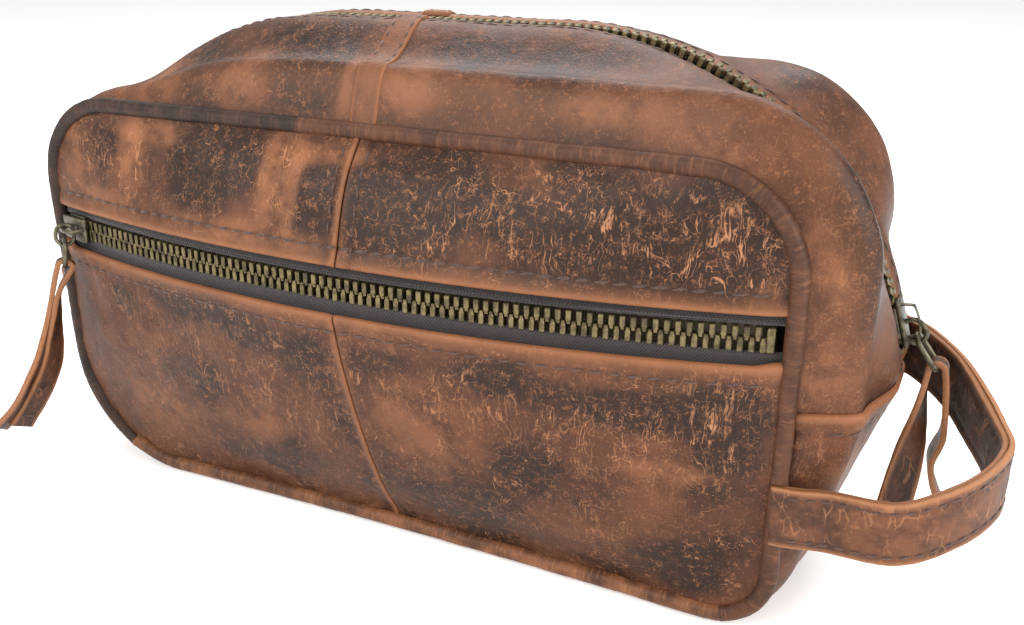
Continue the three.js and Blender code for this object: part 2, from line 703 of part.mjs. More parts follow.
// Front slider at rest near the left end of its zip, its wide end to the left.
const frontRestX = -101.5;
const frontChainR = frontZip.r - chain.depth;
const frontCentreY = frontZip.r - seam.depth - frontZip.bulge;
const frontAngle = Math.asin(frontRestX / frontChainR);
const frontSlider = new THREE.Group();
frontSlider.position.set(frontRestX, frontCentreY - frontChainR * Math.cos(frontAngle), frontZip.z);
frontSlider.matrixAutoUpdate = false;
const outward = new THREE.Vector3(Math.sin(frontAngle), -Math.cos(frontAngle), 0);
const travel = new THREE.Vector3(-Math.cos(frontAngle), -Math.sin(frontAngle), 0);
const sideways = new THREE.Vector3().crossVectors(outward, travel);
frontSlider.matrix.makeBasis(travel, sideways, outward).setPosition(frontSlider.position);
group.add(frontSlider);
add('front_zip_slider', sliderBody(), bronze(), frontSlider);
const frontBar = frontSlider.position.clone().addScaledVector(outward, slider.bar);
const twist = THREE.MathUtils.degToRad(49.46); // how far the resting link has turned about the vertical
const linkRise = 1.7; // height of the link's top wire above the slider's bar
const frontLink = new THREE.Group();
frontLink.position.copy(frontBar);
const frontLean = THREE.MathUtils.degToRad(-12); // the resting link leans away from the bag
frontLink.rotation.set(frontLean, 0, twist);
group.add(frontLink);
add('front_zip_link', linkRing(linkRise), bronze(), frontLink);
const frontPull = new THREE.Group();
frontPull.position.set(0, 0, linkRise - link.long).applyEuler(frontLink.rotation).add(frontLink.position);
frontPull.rotation.copy(frontLink.rotation);
group.add(frontPull);
add(
  'front_zip_pull',
  leatherPull(9, [
    [[-1.7, 0.4], [-3, -15], [-5.5, -33], [-17, -49]],
    [[-0.2, -1.7], [-0.8, -15], [-2.4, -33], [-11.5, -52]],
  ]),
  paint(0x5a3826, 0.6),
  frontPull,
);

// Handle: two straps sewn back to back, each end rounded about its hinge point.
const handleCurve = new THREE.CatmullRomCurve3(
  handle.path.map(([x, y, z]) => new THREE.Vector3(x, y, z)),
  false,
  'centripetal',
);
function strap(inner, outer) {
  const half = handle.width / 2;
  const length = handleCurve.getLength();
  return bent(28, 2, (u, v, w) => {
    const along = mix(-half, length + half, mix(u, (1 - Math.cos(Math.PI * u)) / 2, 0.7));
    const h = (v - 0.5) * 2;
    const past = along < 0 ? -along : Math.max(0, along - length);
    const roundedHalf = Math.sqrt(Math.max(0.02, 1 - (past / half) ** 2)) * half;
    const at = handleCurve.getPointAt(Math.min(1, Math.max(0, along / length)));
    const t = handleCurve.getTangentAt(Math.min(1, Math.max(0, along / length)));
    const flat = new THREE.Vector3(t.x, t.y, 0).normalize();
    const out = new THREE.Vector3(flat.y, -flat.x, 0);
    const wide = new THREE.Vector3().crossVectors(out, t).normalize();
    if (along < 0) at.addScaledVector(t, along);
    if (along > length) at.addScaledVector(t, along - length);
    return at.addScaledVector(out, mix(inner, outer, w)).addScaledVector(wide, h * roundedHalf);
  });
}
add('handle_outer', strap(0.6, 0.6 + handle.wall), paint(0x7a4d30, 0.5));
add('handle_inner', strap(-handle.wall, 0), paint(0x4a3026, 0.6));

export default group;
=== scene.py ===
import math
import random

import bpy
import numpy as np
from mathutils import Matrix, Vector, noise
from mathutils.bvhtree import BVHTree


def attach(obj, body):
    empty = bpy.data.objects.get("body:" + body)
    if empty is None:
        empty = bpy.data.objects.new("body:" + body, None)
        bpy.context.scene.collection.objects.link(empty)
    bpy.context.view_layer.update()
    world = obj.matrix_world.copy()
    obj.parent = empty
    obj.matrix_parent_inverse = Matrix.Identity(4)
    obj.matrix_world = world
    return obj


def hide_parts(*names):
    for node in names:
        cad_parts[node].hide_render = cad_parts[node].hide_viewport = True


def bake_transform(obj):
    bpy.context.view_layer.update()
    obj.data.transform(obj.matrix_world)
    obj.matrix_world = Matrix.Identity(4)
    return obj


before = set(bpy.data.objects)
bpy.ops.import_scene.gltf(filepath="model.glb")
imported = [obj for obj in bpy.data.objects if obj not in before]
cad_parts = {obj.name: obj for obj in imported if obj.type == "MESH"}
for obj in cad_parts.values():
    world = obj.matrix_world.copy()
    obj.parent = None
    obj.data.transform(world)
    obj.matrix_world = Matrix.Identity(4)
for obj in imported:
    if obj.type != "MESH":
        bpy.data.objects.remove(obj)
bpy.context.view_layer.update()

mm = 0.001  # surfaces below are worked out in millimetres and stored in metres
chance = random.Random(11)
print("frame loaded", len(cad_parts), "nodes")


# ---- camera, light and floor ----
view = {"place": (0.1445, -0.251, 0.170), "pitch": 68.5, "yaw": 25.3, "lens": 36.07, "sensor": 36}


def addCamera():
    data = bpy.data.cameras.new("camera")
    data.sensor_width = view["sensor"]
    data.lens = view["lens"]
    data.clip_start = 0.01
    data.clip_end = 30
    camera = bpy.data.objects.new("camera", data)
    camera.location = view["place"]
    camera.rotation_euler = (math.radians(view["pitch"]), 0, math.radians(view["yaw"]))
    bpy.context.scene.collection.objects.link(camera)
    bpy.context.scene.camera = camera


softboxes = {  # place, target, width, height, watts, colour
    "top": ((-0.10, 0.42, 0.85), (0, 0, 0.08), 0.9, 0.7, 11.5, (0.95, 0.97, 1.0)),
    "front": ((-0.45, -1.05, 0.75), (0, 0, 0.06), 1.1, 0.8, 15.0, (1.0, 0.985, 0.96)),
    "right": ((1.10, -0.30, 0.55), (0.05, 0, 0.05), 0.8, 0.8, 13.0, (1.0, 0.98, 0.96)),
}


def addLights():
    for name, (place, target, width, height, watts, colour) in softboxes.items():
        data = bpy.data.lights.new(name, "AREA")
        data.shape = "RECTANGLE"
        data.size = width
        data.size_y = height
        data.energy = watts
        data.color = colour
        lamp = bpy.data.objects.new(name, data)
        lamp.location = place
        lamp.rotation_euler = (Vector(target) - Vector(place)).to_track_quat("-Z", "Y").to_euler()
        bpy.context.scene.collection.objects.link(lamp)
    world = bpy.data.worlds.new("studio")
    world.use_nodes = True
    world.node_tree.nodes["Background"].inputs["Color"].default_value = (1, 1, 1, 1)
    world.node_tree.nodes["Background"].inputs["Strength"].default_value = 0.62
    bpy.context.scene.world = world
    bpy.context.scene.view_settings.view_transform = "Standard"


addCamera()
addLights()


# ---- shader maths ----
class Value:
    def __init__(self, finish, socket):
        self.finish = finish
        self.socket = socket

    def __add__(self, other):
        return self.finish.math("ADD", self, other)

    def __sub__(self, other):
        return self.finish.math("SUBTRACT", self, other)

    def __rsub__(self, other):
        return self.finish.math("SUBTRACT", other, self)

    def __mul__(self, other):
        return self.finish.math("MULTIPLY", self, other)

    __radd__ = __add__
    __rmul__ = __mul__


class Finish:
    def __init__(self, name):
        self.material = bpy.data.materials.new(name)
        self.material.use_nodes = True
        self.tree = self.material.node_tree
        self.shader = self.tree.nodes["Principled BSDF"]

    def node(self, kind, settings, values, output=0):
        made = self.tree.nodes.new(kind)
        for key, value in settings.items():
            if key == "stops":
                ramp = made.color_ramp
                while len(ramp.elements) < len(value):
                    ramp.elements.new(0.5)
                for element, (place, colour) in zip(ramp.elements, value):
                    element.position = place
                    element.color = (*colour, 1)
            else:
                setattr(made, key, value)
        for key, value in values.items():
            if isinstance(value, Value):
                self.tree.links.new(value.socket, made.inputs[key])
            else:
                made.inputs[key].default_value = value
        return Value(self, made.outputs[output])

    def math(self, operation, a, b=0.0, clamp=False):
        return self.node("ShaderNodeMath", {"operation": operation, "use_clamp": clamp}, {0: a, 1: b})

    def clamp(self, a):
        return self.math("ADD", a, 0.0, True)

    def step(self, a, low, high):
        settings = {"interpolation_type": "SMOOTHSTEP"}
        return self.node("ShaderNodeMapRange", settings, {0: a, 1: low, 2: high, 3: 0.0, 4: 1.0})

    def blend(self, factor, a, b, mode="MIX"):
        colours = [c if isinstance(c, Value) else (*c, 1) for c in (a, b)]
        settings = {"data_type": "RGBA", "blend_type": mode}
        return self.node("ShaderNodeMix", settings, {0: factor, 6: colours[0], 7: colours[1]}, 2)

    def layered(self, tone, *layers):
        # lays each colour over the tone, as far as its mask lets it
        for factor, colour in layers:
            tone = self.blend(factor, tone, colour)
        return tone

    def place(self):
        at = self.node("ShaderNodeTexCoord", {}, {}, "Object")
        return self.node("ShaderNodeVectorMath", {"operation": "SCALE"}, {0: at, 3: 1 / mm})

    def along(self):
        at = self.node("ShaderNodeUVMap", {"uv_map": "UVMap"}, {})
        return self.node("ShaderNodeVectorMath", {"operation": "SCALE"}, {0: at, 3: 1 / mm})

    def mask(self, name):
        return self.node("ShaderNodeAttribute", {"attribute_name": name}, {}, "Fac")

    def turned(self, at, angle, stretch, move=(0, 0, 0)):
        values = {0: at, 1: move, 2: (0, math.radians(angle), 0), 3: stretch}
        return self.node("ShaderNodeMapping", {"vector_type": "POINT"}, values)

    def noise(self, at, size, detail=4.0, rough=0.55, bend=0.0, output=0):
        values = {"Vector": at, "Scale": 1 / size, "Detail": detail, "Roughness": rough, "Distortion": bend}
        return self.node("ShaderNodeTexNoise", {}, values, output)

    def cells(self, at, size, feature="DISTANCE_TO_EDGE", uneven=1.0):
        values = {"Vector": at, "Scale": 1 / size, "Randomness": uneven}
        return self.node("ShaderNodeTexVoronoi", {"feature": feature}, values)

    def warped(self, at, size, amount, detail=3.0):
        shift = self.noise(at, size, detail, output=1)
        scaled = self.node("ShaderNodeVectorMath", {"operation": "SCALE"}, {0: shift, 3: amount})
        return self.node("ShaderNodeVectorMath", {"operation": "ADD"}, {0: at, 1: scaled})

    def vein(self, at, size, half):
        # thin winding lines, where a noise passes through its middle value
        away = self.math("ABSOLUTE", self.noise(at, size, 3.5, 0.55, 0.5) - 0.5)
        return 1 - self.step(away, half * 0.15, half)

    def bump(self, height, strength, distance):
        values = {"Strength": strength, "Distance": distance * mm, "Height": height}
        return self.node("ShaderNodeBump", {}, values)

    def done(self, **sockets):
        for name, value in sockets.items():
            socket = self.shader.inputs[name.replace("_", " ")]
            if isinstance(value, Value):
                self.tree.links.new(value.socket, socket)
            else:
                socket.default_value = value
        return self.material


# ---- leather ----
pullUp = {  # colours of the waxed hide: what a change of tone is made of
    "mid": (0.062, 0.0235, 0.0120),
    "warm": (0.120, 0.0440, 0.0200),
    "tan": (0.260, 0.104, 0.045),
    "crack": (0.400, 0.180, 0.085),
    "dark": (0.0165, 0.0078, 0.0056),
    "darkAmount": 0.52,
    "crackAmount": 0.85,
    "rough": 0.43,
}


def waxedLeather(name, **changes):
    look = {**pullUp, **changes}
    f = Finish(name)
    at = f.place()
    wide = f.warped(at, 22, 9)
    broad = f.noise(wide, 30, 4, 0.55)
    medium = f.noise(at, 11, 6, 0.62)
    fine = f.noise(at, 2.2, 5, 0.7)
    speck = f.noise(at, 0.55, 3, 0.7)
    dark = f.mask("dark")
    light = f.mask("light")

    # the dark, waxed areas, with ragged soft edges
    depth = dark * 0.42 + broad * 1.45 + medium * 0.75 + fine * 0.12 - light * 0.46
    edge = 1.36 - look["darkAmount"] * 0.50
    darkness = f.step(depth, edge - 0.06, edge + 0.30)

    # cracks where the wax has broken: upright ones, leaning ones and a fine net
    shaky = f.warped(at, 9, 4.0, 2.0)
    gaps = f.step(f.noise(at, 4.0, 4), 0.40, 0.56)
    upright = f.turned(shaky, 6, (1, 1, 0.15))
    leaning = f.turned(shaky, 44, (1, 1, 0.14), (7, 3, 5))
    uprightLine = f.vein(upright, 6.0, 0.011) + f.vein(upright, 3.0, 0.013) * 0.7
    leaningLine = f.vein(leaning, 6.0, 0.011) + f.vein(leaning, 3.0, 0.013) * 0.7
    net = f.vein(shaky, 6.5, 0.009) * f.step(f.noise(wide, 16, 3), 0.36, 0.60) * 0.8
    lines = uprightLine * f.mask("fan") + leaningLine * f.mask("lean") + net
    lines = f.clamp(lines * gaps) * look["crackAmount"]

    tone = f.blend(f.step(medium, 0.36, 0.68), look["mid"], look["warm"])
    paleness = f.clamp(f.step(broad, 0.60, 0.78) * 0.5 + light * f.step(medium, 0.32, 0.62))
    tone = f.layered(
        tone,
        (paleness, look["tan"]),
        (darkness * 0.93, look["dark"]),
        (f.step(fine, 0.48, 0.74) * 0.50, look["warm"]),
        (f.step(fine * 0.5 + speck * 0.5, 0.53, 0.68) * 0.60, look["tan"]),
        (f.step(speck, 0.50, 0.22) * 0.40, look["dark"]),
        (lines, look["crack"]),
    )
    worn = f.clamp(f.mask("wear") * (medium * 0.9 + 0.45))
    tone = f.layered(
        tone,
        (worn * 0.85, look["tan"]),
        (f.mask("groove") * 0.55, look["dark"]),
    )

    pores = f.cells(at, 0.85, "F1")
    height = fine * 0.5 + pores * 0.28 + speck * 0.25 + medium * 0.6 + lines * 0.55
    rough = look["rough"] + fine * 0.16 - darkness * 0.05 + lines * 0.2
    return f.done(
        Base_Color=tone,
        Roughness=rough,
        Specular_IOR_Level=0.18,
        Coat_Weight=0.04,
        Coat_Roughness=0.30,
        Normal=f.bump(height, 0.55, 0.35),
    )


def pipingLeather(name, body, dark, light):
    f = Finish(name)
    at = f.place()
    run = f.along()
    folds = f.noise(f.turned(run, 0, (1.0, 0.16, 1)), 0.9, 3, 0.6)
    medium = f.noise(at, 9, 5, 0.6)
    speck = f.noise(at, 0.6, 3, 0.7)
    tone = f.blend(f.step(medium, 0.36, 0.66), dark, body)
    tone = f.layered(
        tone,
        (f.step(folds, 0.50, 0.72) * 0.42, light),
        (f.step(folds, 0.44, 0.28) * 0.30, dark),
        (f.step(speck, 0.55, 0.8) * 0.35, light),
    )
    return f.done(
        Base_Color=tone,
        Roughness=0.46 + speck * 0.14,
        Specular_IOR_Level=0.2,
        Coat_Weight=0.06,
        Coat_Roughness=0.4,
        Normal=f.bump(folds * 1.0 + speck * 0.25, 0.7, 0.35),
    )


def strapLeather(name, face, dark, edge):
    f = Finish(name)
    at = f.place()
    medium = f.noise(f.warped(at, 8, 4), 8, 6, 0.62)
    fine = f.noise(at, 1.6, 5, 0.7)
    speck = f.noise(at, 0.5, 3, 0.7)
    scuffs = f.cells(f.turned(f.warped(at, 5, 2.5), 20, (1, 1, 0.4)), 3.0)
    lines = (1 - f.step(scuffs, 0.01, 0.06)) * f.step(f.noise(at, 7, 3), 0.46, 0.62)
    tone = f.blend(f.step(medium, 0.36, 0.64), dark, face)
    tone = f.layered(
        tone,
        (f.step(fine, 0.52, 0.78) * 0.4, edge),
        (lines * 0.6, edge),
        (f.step(speck, 0.50, 0.25) * 0.4, dark),
        (f.clamp(f.mask("wear") * (fine * 0.8 + 0.5)), edge),
        (f.mask("groove") * 0.6, dark),
    )
    return f.done(
        Base_Color=tone,
        Roughness=0.45 + fine * 0.2,
        Specular_IOR_Level=0.2,
        Coat_Weight=0.06,
        Coat_Roughness=0.45,
        Normal=f.bump(fine * 0.7 + speck * 0.4 + lines * 0.4, 0.6, 0.3),
    )


def threadFinish(name, colour, deep):
    f = Finish(name)
    twist = f.noise(f.turned(f.place(), 40, (1, 1, 0.35)), 0.35, 2)
    tone = f.blend(f.step(twist, 0.35, 0.65), deep, colour)
    return f.done(Base_Color=tone, Roughness=0.7, Sheen_Weight=0.2, Normal=f.bump(twist, 0.5, 0.12))


def twillFinish(name):
    f = Finish(name)
    run = f.along()
    u = f.node("ShaderNodeSeparateXYZ", {}, {0: run}, 0)
    v = f.node("ShaderNodeSeparateXYZ", {}, {0: run}, 1)
    ribs = f.math("SINE", (u + v * 0.8) * (2 * math.pi / 0.85))
    threads = f.math("SINE", v * (2 * math.pi / 0.42))
    weave = ribs * 0.6 + threads * 0.4
    fuzz = f.noise(f.place(), 0.7, 4, 0.7)
    soil = f.noise(f.place(), 9, 3)
    tone = f.blend(f.step(weave + fuzz * 1.2, 0.1, 1.5), (0.012, 0.0075, 0.0085), (0.046, 0.032, 0.032))
    tone = f.layered(
        tone,
        (f.step(fuzz, 0.58, 0.78) * 0.35, (0.10, 0.075, 0.072)),
        (f.step(soil, 0.5, 0.75) * 0.25, (0.06, 0.038, 0.03)),
    )
    return f.done(
        Base_Color=tone, Roughness=0.85, Sheen_Weight=0.25, Sheen_Roughness=0.5,
        Normal=f.bump(weave * 0.5 + fuzz, 0.8, 0.18),
    )


def clothFinish(name, light, dark):
    f = Finish(name)
    at = f.place()
    x = f.node("ShaderNodeSeparateXYZ", {}, {0: at}, 0)
    y = f.node("ShaderNodeSeparateXYZ", {}, {0: at}, 1)
    z = f.node("ShaderNodeSeparateXYZ", {}, {0: at}, 2)
    warp = f.math("SINE", (x + y) * (2 * math.pi / 0.7))
    weft = f.math("SINE", z * (2 * math.pi / 0.7))
    weave = warp * weft
    slub = f.noise(f.turned(at, 0, (1, 1, 0.1)), 1.4, 4)
    tone = f.blend(f.step(weave + slub, 0.0, 1.3), dark, light)
    return f.done(
        Base_Color=tone, Roughness=0.9, Sheen_Weight=0.3, Normal=f.bump(weave * 0.5 + slub * 0.4, 0.6, 0.2)
    )


def metalFinish(name, bright, deep, dirt, rough):
    f = Finish(name)
    at = f.place()
    patina = f.noise(at, 2.4, 5, 0.65)
    scratch = f.noise(f.turned(at, 30, (1, 1, 0.12)), 0.35, 3)
    tone = f.blend(f.step(patina, 0.36, 0.66), deep, bright)
    tone = f.blend(f.step(patina, 0.50, 0.30) * 0.7, tone, dirt)
    return f.done(
        Base_Color=tone,
        Metallic=0.93 - f.step(patina, 0.48, 0.30) * 0.3,
        Roughness=rough + patina * 0.22,
        Normal=f.bump(scratch * 0.5 + patina, 0.25, 0.1),
    )


finishes = {
    "upperLeft": waxedLeather("leatherUpperLeft", darkAmount=0.58),
    "upperRight": waxedLeather("leatherUpperRight", darkAmount=0.66),
    "lowerLeft": waxedLeather("leatherLowerLeft", darkAmount=0.44),
    "lowerRight": waxedLeather("leatherLowerRight", darkAmount=0.40),
    "back": waxedLeather("leatherBack", darkAmount=0.46),
    "topRight": waxedLeather("leatherTopRight", darkAmount=0.40, crackAmount=0.35, rough=0.40),
    "topLeft": waxedLeather("leatherTopLeft", darkAmount=0.52, crackAmount=0.5, rough=0.41),
    "strip": waxedLeather("leatherStrip", darkAmount=0.15, crackAmount=0.5),
    "band": waxedLeather("leatherBand", darkAmount=0.25, crackAmount=0.5),
    "pipingMid": pipingLeather(
        "pipingMid", (0.092, 0.035, 0.0170), (0.045, 0.0185, 0.0105), (0.215, 0.090, 0.040),
    ),
    "pipingDark": pipingLeather(
        "pipingDark", (0.042, 0.0215, 0.0140), (0.016, 0.0095, 0.0075), (0.095, 0.045, 0.024),
    ),
    "pipingTan": pipingLeather(
        "pipingTan", (0.200, 0.078, 0.034), (0.065, 0.027, 0.0140), (0.340, 0.148, 0.064),
    ),
    "handle": strapLeather(
        "handleLeather", (0.140, 0.053, 0.0240), (0.050, 0.0210, 0.0120), (0.340, 0.150, 0.067),
    ),
    "handleInner": strapLeather(
        "handleInner", (0.060, 0.0250, 0.0130), (0.020, 0.0105, 0.0075), (0.250, 0.107, 0.047),
    ),
    "pull": strapLeather(
        "pullLeather", (0.078, 0.0310, 0.0165), (0.024, 0.0115, 0.0080), (0.270, 0.115, 0.050),
    ),
    "thread": threadFinish("thread", (0.085, 0.034, 0.020), (0.024, 0.011, 0.008)),
    "twill": twillFinish("zipTwill"),
    "lining": clothFinish("liningCloth", (0.46, 0.37, 0.25), (0.27, 0.21, 0.14)),
    "filler": clothFinish("fillerCord", (0.62, 0.55, 0.42), (0.40, 0.34, 0.25)),
    "brass": metalFinish(
        "zipBrass", (0.200, 0.160, 0.078), (0.088, 0.070, 0.038), (0.035, 0.029, 0.020), 0.36,
    ),
    "bronze": metalFinish(
        "zipBronze", (0.170, 0.152, 0.100), (0.075, 0.067, 0.048), (0.028, 0.026, 0.020), 0.32,
    ),
}
print("finishes made")


# ---- the bag's own surfaces ----
seam = {"half": 111.5, "top": 117.5, "bottom": 3, "depth": 34, "right": 15, "high": 25, "left": 36}
arch = {"rightX": 41, "rightZ": 48.5, "rightR": 95, "leftX": 25, "leftZ": 36, "leftR": 107.5}
shoulder = {
    "high": 16, "backLess": 4, "low": 3, "width": 0.25, "flatFrom": 0.82, "riseTo": 66, "endRise": 17.5,
    "slumpEnd": 5, "slumpCorner": 8,
}
frontZip = {"z": 80, "r": 415, "bulge": 17, "half": 6}
bandTop = 62.5


def smooth(t):
    t = np.clip(t, 0, 1)
    return t * t * (3 - 2 * t)


def mix(a, b, t):
    return a + (b - a) * t


def near(distance, width):
    # 1 at no distance, falling off smoothly over the width
    return np.exp(-((distance / width) ** 2))


def profile(points):
    p = np.array(points, float)
    t = np.linspace(0, len(p) - 1, 161)
    i = np.minimum(t.astype(int), len(p) - 2)
    w = (t - i)[:, None]
    a, b, c, d = p[np.maximum(i - 1, 0)], p[i], p[i + 1], p[np.minimum(i + 2, len(p) - 1)]
    v0, v1 = (c - a) / 2, (d - b) / 2
    curve = (2 * b - 2 * c + v0 + v1) * w**3 + (-3 * b + 3 * c - 2 * v0 - v1) * w**2 + v0 * w + b
    return lambda at: np.interp(at, curve[:, 0], curve[:, 1])


frontBulge = profile([
    [0, 0], [6, 0.3], [13, 3], [28, 8.5], [42, 12.5], [58, 15.8], [72, 18], [80, 17], [90, 14.5], [101, 11],
    [109, 7], [117.5, 0],
])
backBulge = profile([[0, 0], [20, 5], [60, 12], [95, 9], [117.5, 0]])


def outlineTable():
    half, top, bottom = seam["half"], seam["top"], seam["bottom"]
    right, high, left = seam["right"], seam["high"], seam["left"]
    points, tangents = [], []

    def line(a, b):
        run = np.array(b, float) - np.array(a, float)
        for t in (0, 1):
            points.append(np.array(a, float) + run * t)
            tangents.append(run / np.linalg.norm(run))

    def arc(x, z, r, start):
        for turn in np.radians(np.linspace(start, start + 90, 91)):
            points.append(np.array([x + r * np.cos(turn), z + r * np.sin(turn)]))
            tangents.append(np.array([-np.sin(turn), np.cos(turn)]))

    line((0, bottom), (half - right, bottom))
    arc(half - right, bottom + right, right, -90)
    line((half, bottom + right), (half, top - high))
    arc(half - high, top - high, high, 0)
    line((half - high, top), (high - half, top))
    arc(high - half, top - high, high, 90)
    line((-half, top - high), (-half, bottom + left))
    arc(left - half, bottom + left, left, 180)
    line((left - half, bottom), (0, bottom))
    points, tangents = np.array(points), np.array(tangents)
    length = np.concatenate([[0], np.cumsum(np.linalg.norm(np.diff(points, axis=0), axis=1))])
    return length, points, tangents


seamLength, seamPoints, seamTangents = outlineTable()


def seamAt(s):
    at = np.mod(s, 1.0) * seamLength[-1]
    x, z = (np.interp(at, seamLength, seamPoints[:, k]) for k in (0, 1))
    tx, tz = (np.interp(at, seamLength, seamTangents[:, k]) for k in (0, 1))
    return x, z, tx, tz


def shareWhere(low, high, test):
    s = np.linspace(low, high, 4000)
    x, z, _, _ = seamAt(s)
    return float(s[np.argmax(test(x, z))])


share = {
    "rightBand": shareWhere(0.15, 0.4, lambda x, z: z > bandTop),
    "leftBand": shareWhere(0.6, 0.9, lambda x, z: z < bandTop),
    "pipeJoint": shareWhere(0.3, 0.7, lambda x, z: x < -18),
    "baseFrom": shareWhere(0.7, 0.99, lambda x, z: x > -93),
    "baseTo": shareWhere(0.02, 0.25, lambda x, z: x > 100),
}


def shareAtTop(x0):
    return shareWhere(0.3, 0.7, lambda x, z: x < x0)


def seamDepth(x, z):
    return seam["depth"] - 2 * np.maximum(0, 1 - (x / 95) ** 2) * smooth((22 - z) / 18)


def jointX(z):
    return 4.5 * smooth((76 - z) / 72)


def archDistance(x, z):
    right = x > 0
    ex, ez, r = (np.where(right, arch["right" + k], arch["left" + k]) for k in "XZR")
    ax = np.abs(x)
    corner = np.hypot(ax - ex, z - ez) - r
    return np.where(ax < ex, z - ez - r, np.where(z < ez, ax - ex - r, corner))


def middleRise(x, z, nx, nz):
    low = shoulder["low"] + shoulder["endRise"] * (z - seam["bottom"]) / 58
    near, far = np.zeros_like(x), np.full_like(x, 60.0)
    for _ in range(30):
        at = (near + far) / 2
        over = archDistance(x + nx * at, z + nz * at) > 0
        far = np.where(over, at, far)
        near = np.where(over, near, at)
    return np.minimum(near, low)


def edgeRise(side, x, z):
    corner = smooth((z - 85) / 30) * smooth((-x - 50) / 50)
    slump = shoulder["slumpEnd"] * smooth((-x - 20) / 60) + shoulder["slumpCorner"] * corner
    high = shoulder["high"] - slump - (shoulder["backLess"] * smooth((120 - z) / 34) if side > 0 else 0)
    return mix(shoulder["low"], high, smooth((z - seam["bottom"]) / (shoulder["riseTo"] - 4)))


def gusset(side, s, q):
    x, z, tx, tz = seamAt(s)
    nx, nz = tz, -tx
    edge = edgeRise(side, x, z)
    rise = middleRise(x, z, nx, nz)
    up = np.sin(np.pi / 2 * np.minimum(1, q / shoulder["width"]))
    over = smooth((q - shoulder["width"]) / (shoulder["flatFrom"] - shoulder["width"]))
    out = edge * up + (rise - edge) * over
    return np.stack([x + nx * out, side * seamDepth(x, z) * (1 - q), z + nz * out], axis=-1)


def cornerRoom(x, z):
    high = z > 60
    r = np.where(high, seam["high"], np.where(x > 0, seam["right"], seam["left"]))
    dx = np.abs(x) - (seam["half"] - r)
    dz = np.where(high, z - (seam["top"] - r), seam["bottom"] + r - z)
    return np.where((dx > 0) & (dz > 0), r - np.hypot(dx, dz), seam["half"])


def frontFace(x, z):
    flat = np.sqrt(frontZip["r"] ** 2 - x * x)
    across = 1 - (frontZip["r"] - flat) / frontZip["bulge"]
    edge = np.minimum(seam["half"] - np.abs(x), cornerRoom(x, z))
    return -seamDepth(x, z) - frontBulge(z) * across * (1 - np.exp(-np.maximum(0, edge) / 2))


def backFace(x, z):
    across = np.maximum(0, 1 - (x / seam["half"]) ** 2) ** 0.75
    return seamDepth(x, z) + backBulge(z) * across


def reach(z, sign, inset):
    high = z > 60
    r = np.where(high, seam["high"], seam["right"] if sign > 0 else seam["left"]) - inset
    half = seam["half"] - inset
    dz = np.where(high, z - (seam["top"] - inset - r), seam["bottom"] + inset + r - z)
    return sign * np.where(dz > 0, half - r + np.sqrt(np.maximum(0, r * r - dz * dz)), half)


# ---- mesh helpers ----
def meshPiece(name, points, faces, uv=None, masks=None):
    mesh = bpy.data.meshes.new(name)
    mesh.from_pydata((np.asarray(points) * mm).tolist(), [], [list(map(int, face)) for face in faces])
    mesh.polygons.foreach_set("use_smooth", [True] * len(mesh.polygons))
    if uv is not None:
        layer = mesh.uv_layers.new(name="UVMap")
        corners = np.zeros(len(mesh.loops), np.int32)
        mesh.loops.foreach_get("vertex_index", corners)
        layer.data.foreach_set("uv", (np.asarray(uv)[corners] * mm).astype(np.float32).ravel())
    for key, values in (masks or {}).items():
        attribute = mesh.attributes.new(key, "FLOAT", "POINT")
        attribute.data.foreach_set("value", np.asarray(values, np.float32).ravel())
    mesh.validate()
    piece = bpy.data.objects.new(name, mesh)
    bpy.context.scene.collection.objects.link(piece)
    return piece


def settle(piece, finish, body, nodes=()):
    piece.data.materials.clear()
    piece.data.materials.append(finishes[finish])
    if isinstance(body, str):
        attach(piece, body)
    if nodes:
        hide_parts(*nodes)
    return piece


def noiseAt(points, size, seed=0.0):
    flat = points.reshape(-1, 3) / size + seed
    return np.array([noise.noise(p) for p in flat.tolist()]).reshape(points.shape[:-1])


def waves(points, *layers):
    # each layer is height, size and seed
    return sum(height * noiseAt(points, size, seed) for height, size, seed in layers)


def patches(points, size, seed, strength):
    return np.clip(noiseAt(points, size, seed) * strength, 0, 1)


def crowded(length, step, edge):
    near = [k * edge for k in (0, 0.1, 0.28, 0.55, 1.0)]
    count = max(3, int(round((length - 2 * near[-1]) / step)))
    middle = np.linspace(near[-1], length - near[-1], count + 1)
    return np.concatenate([near[:-1], middle, [length - k for k in near[-2::-1]]]) / length


def gridNormals(points, facing):
    n = np.cross(np.gradient(points, axis=0), np.gradient(points, axis=1))
    n /= np.linalg.norm(n, axis=2, keepdims=True) + 1e-12
    return n if np.sum(n * facing) > 0 else -n


def gridDistances(points):
    along = np.linalg.norm(np.diff(points, axis=0), axis=2).cumsum(axis=0)
    across = np.linalg.norm(np.diff(points, axis=1), axis=2).cumsum(axis=1)
    u = np.concatenate([np.zeros((1, points.shape[1])), along], axis=0)
    v = np.concatenate([np.zeros((points.shape[0], 1)), across], axis=1)
    return u, v


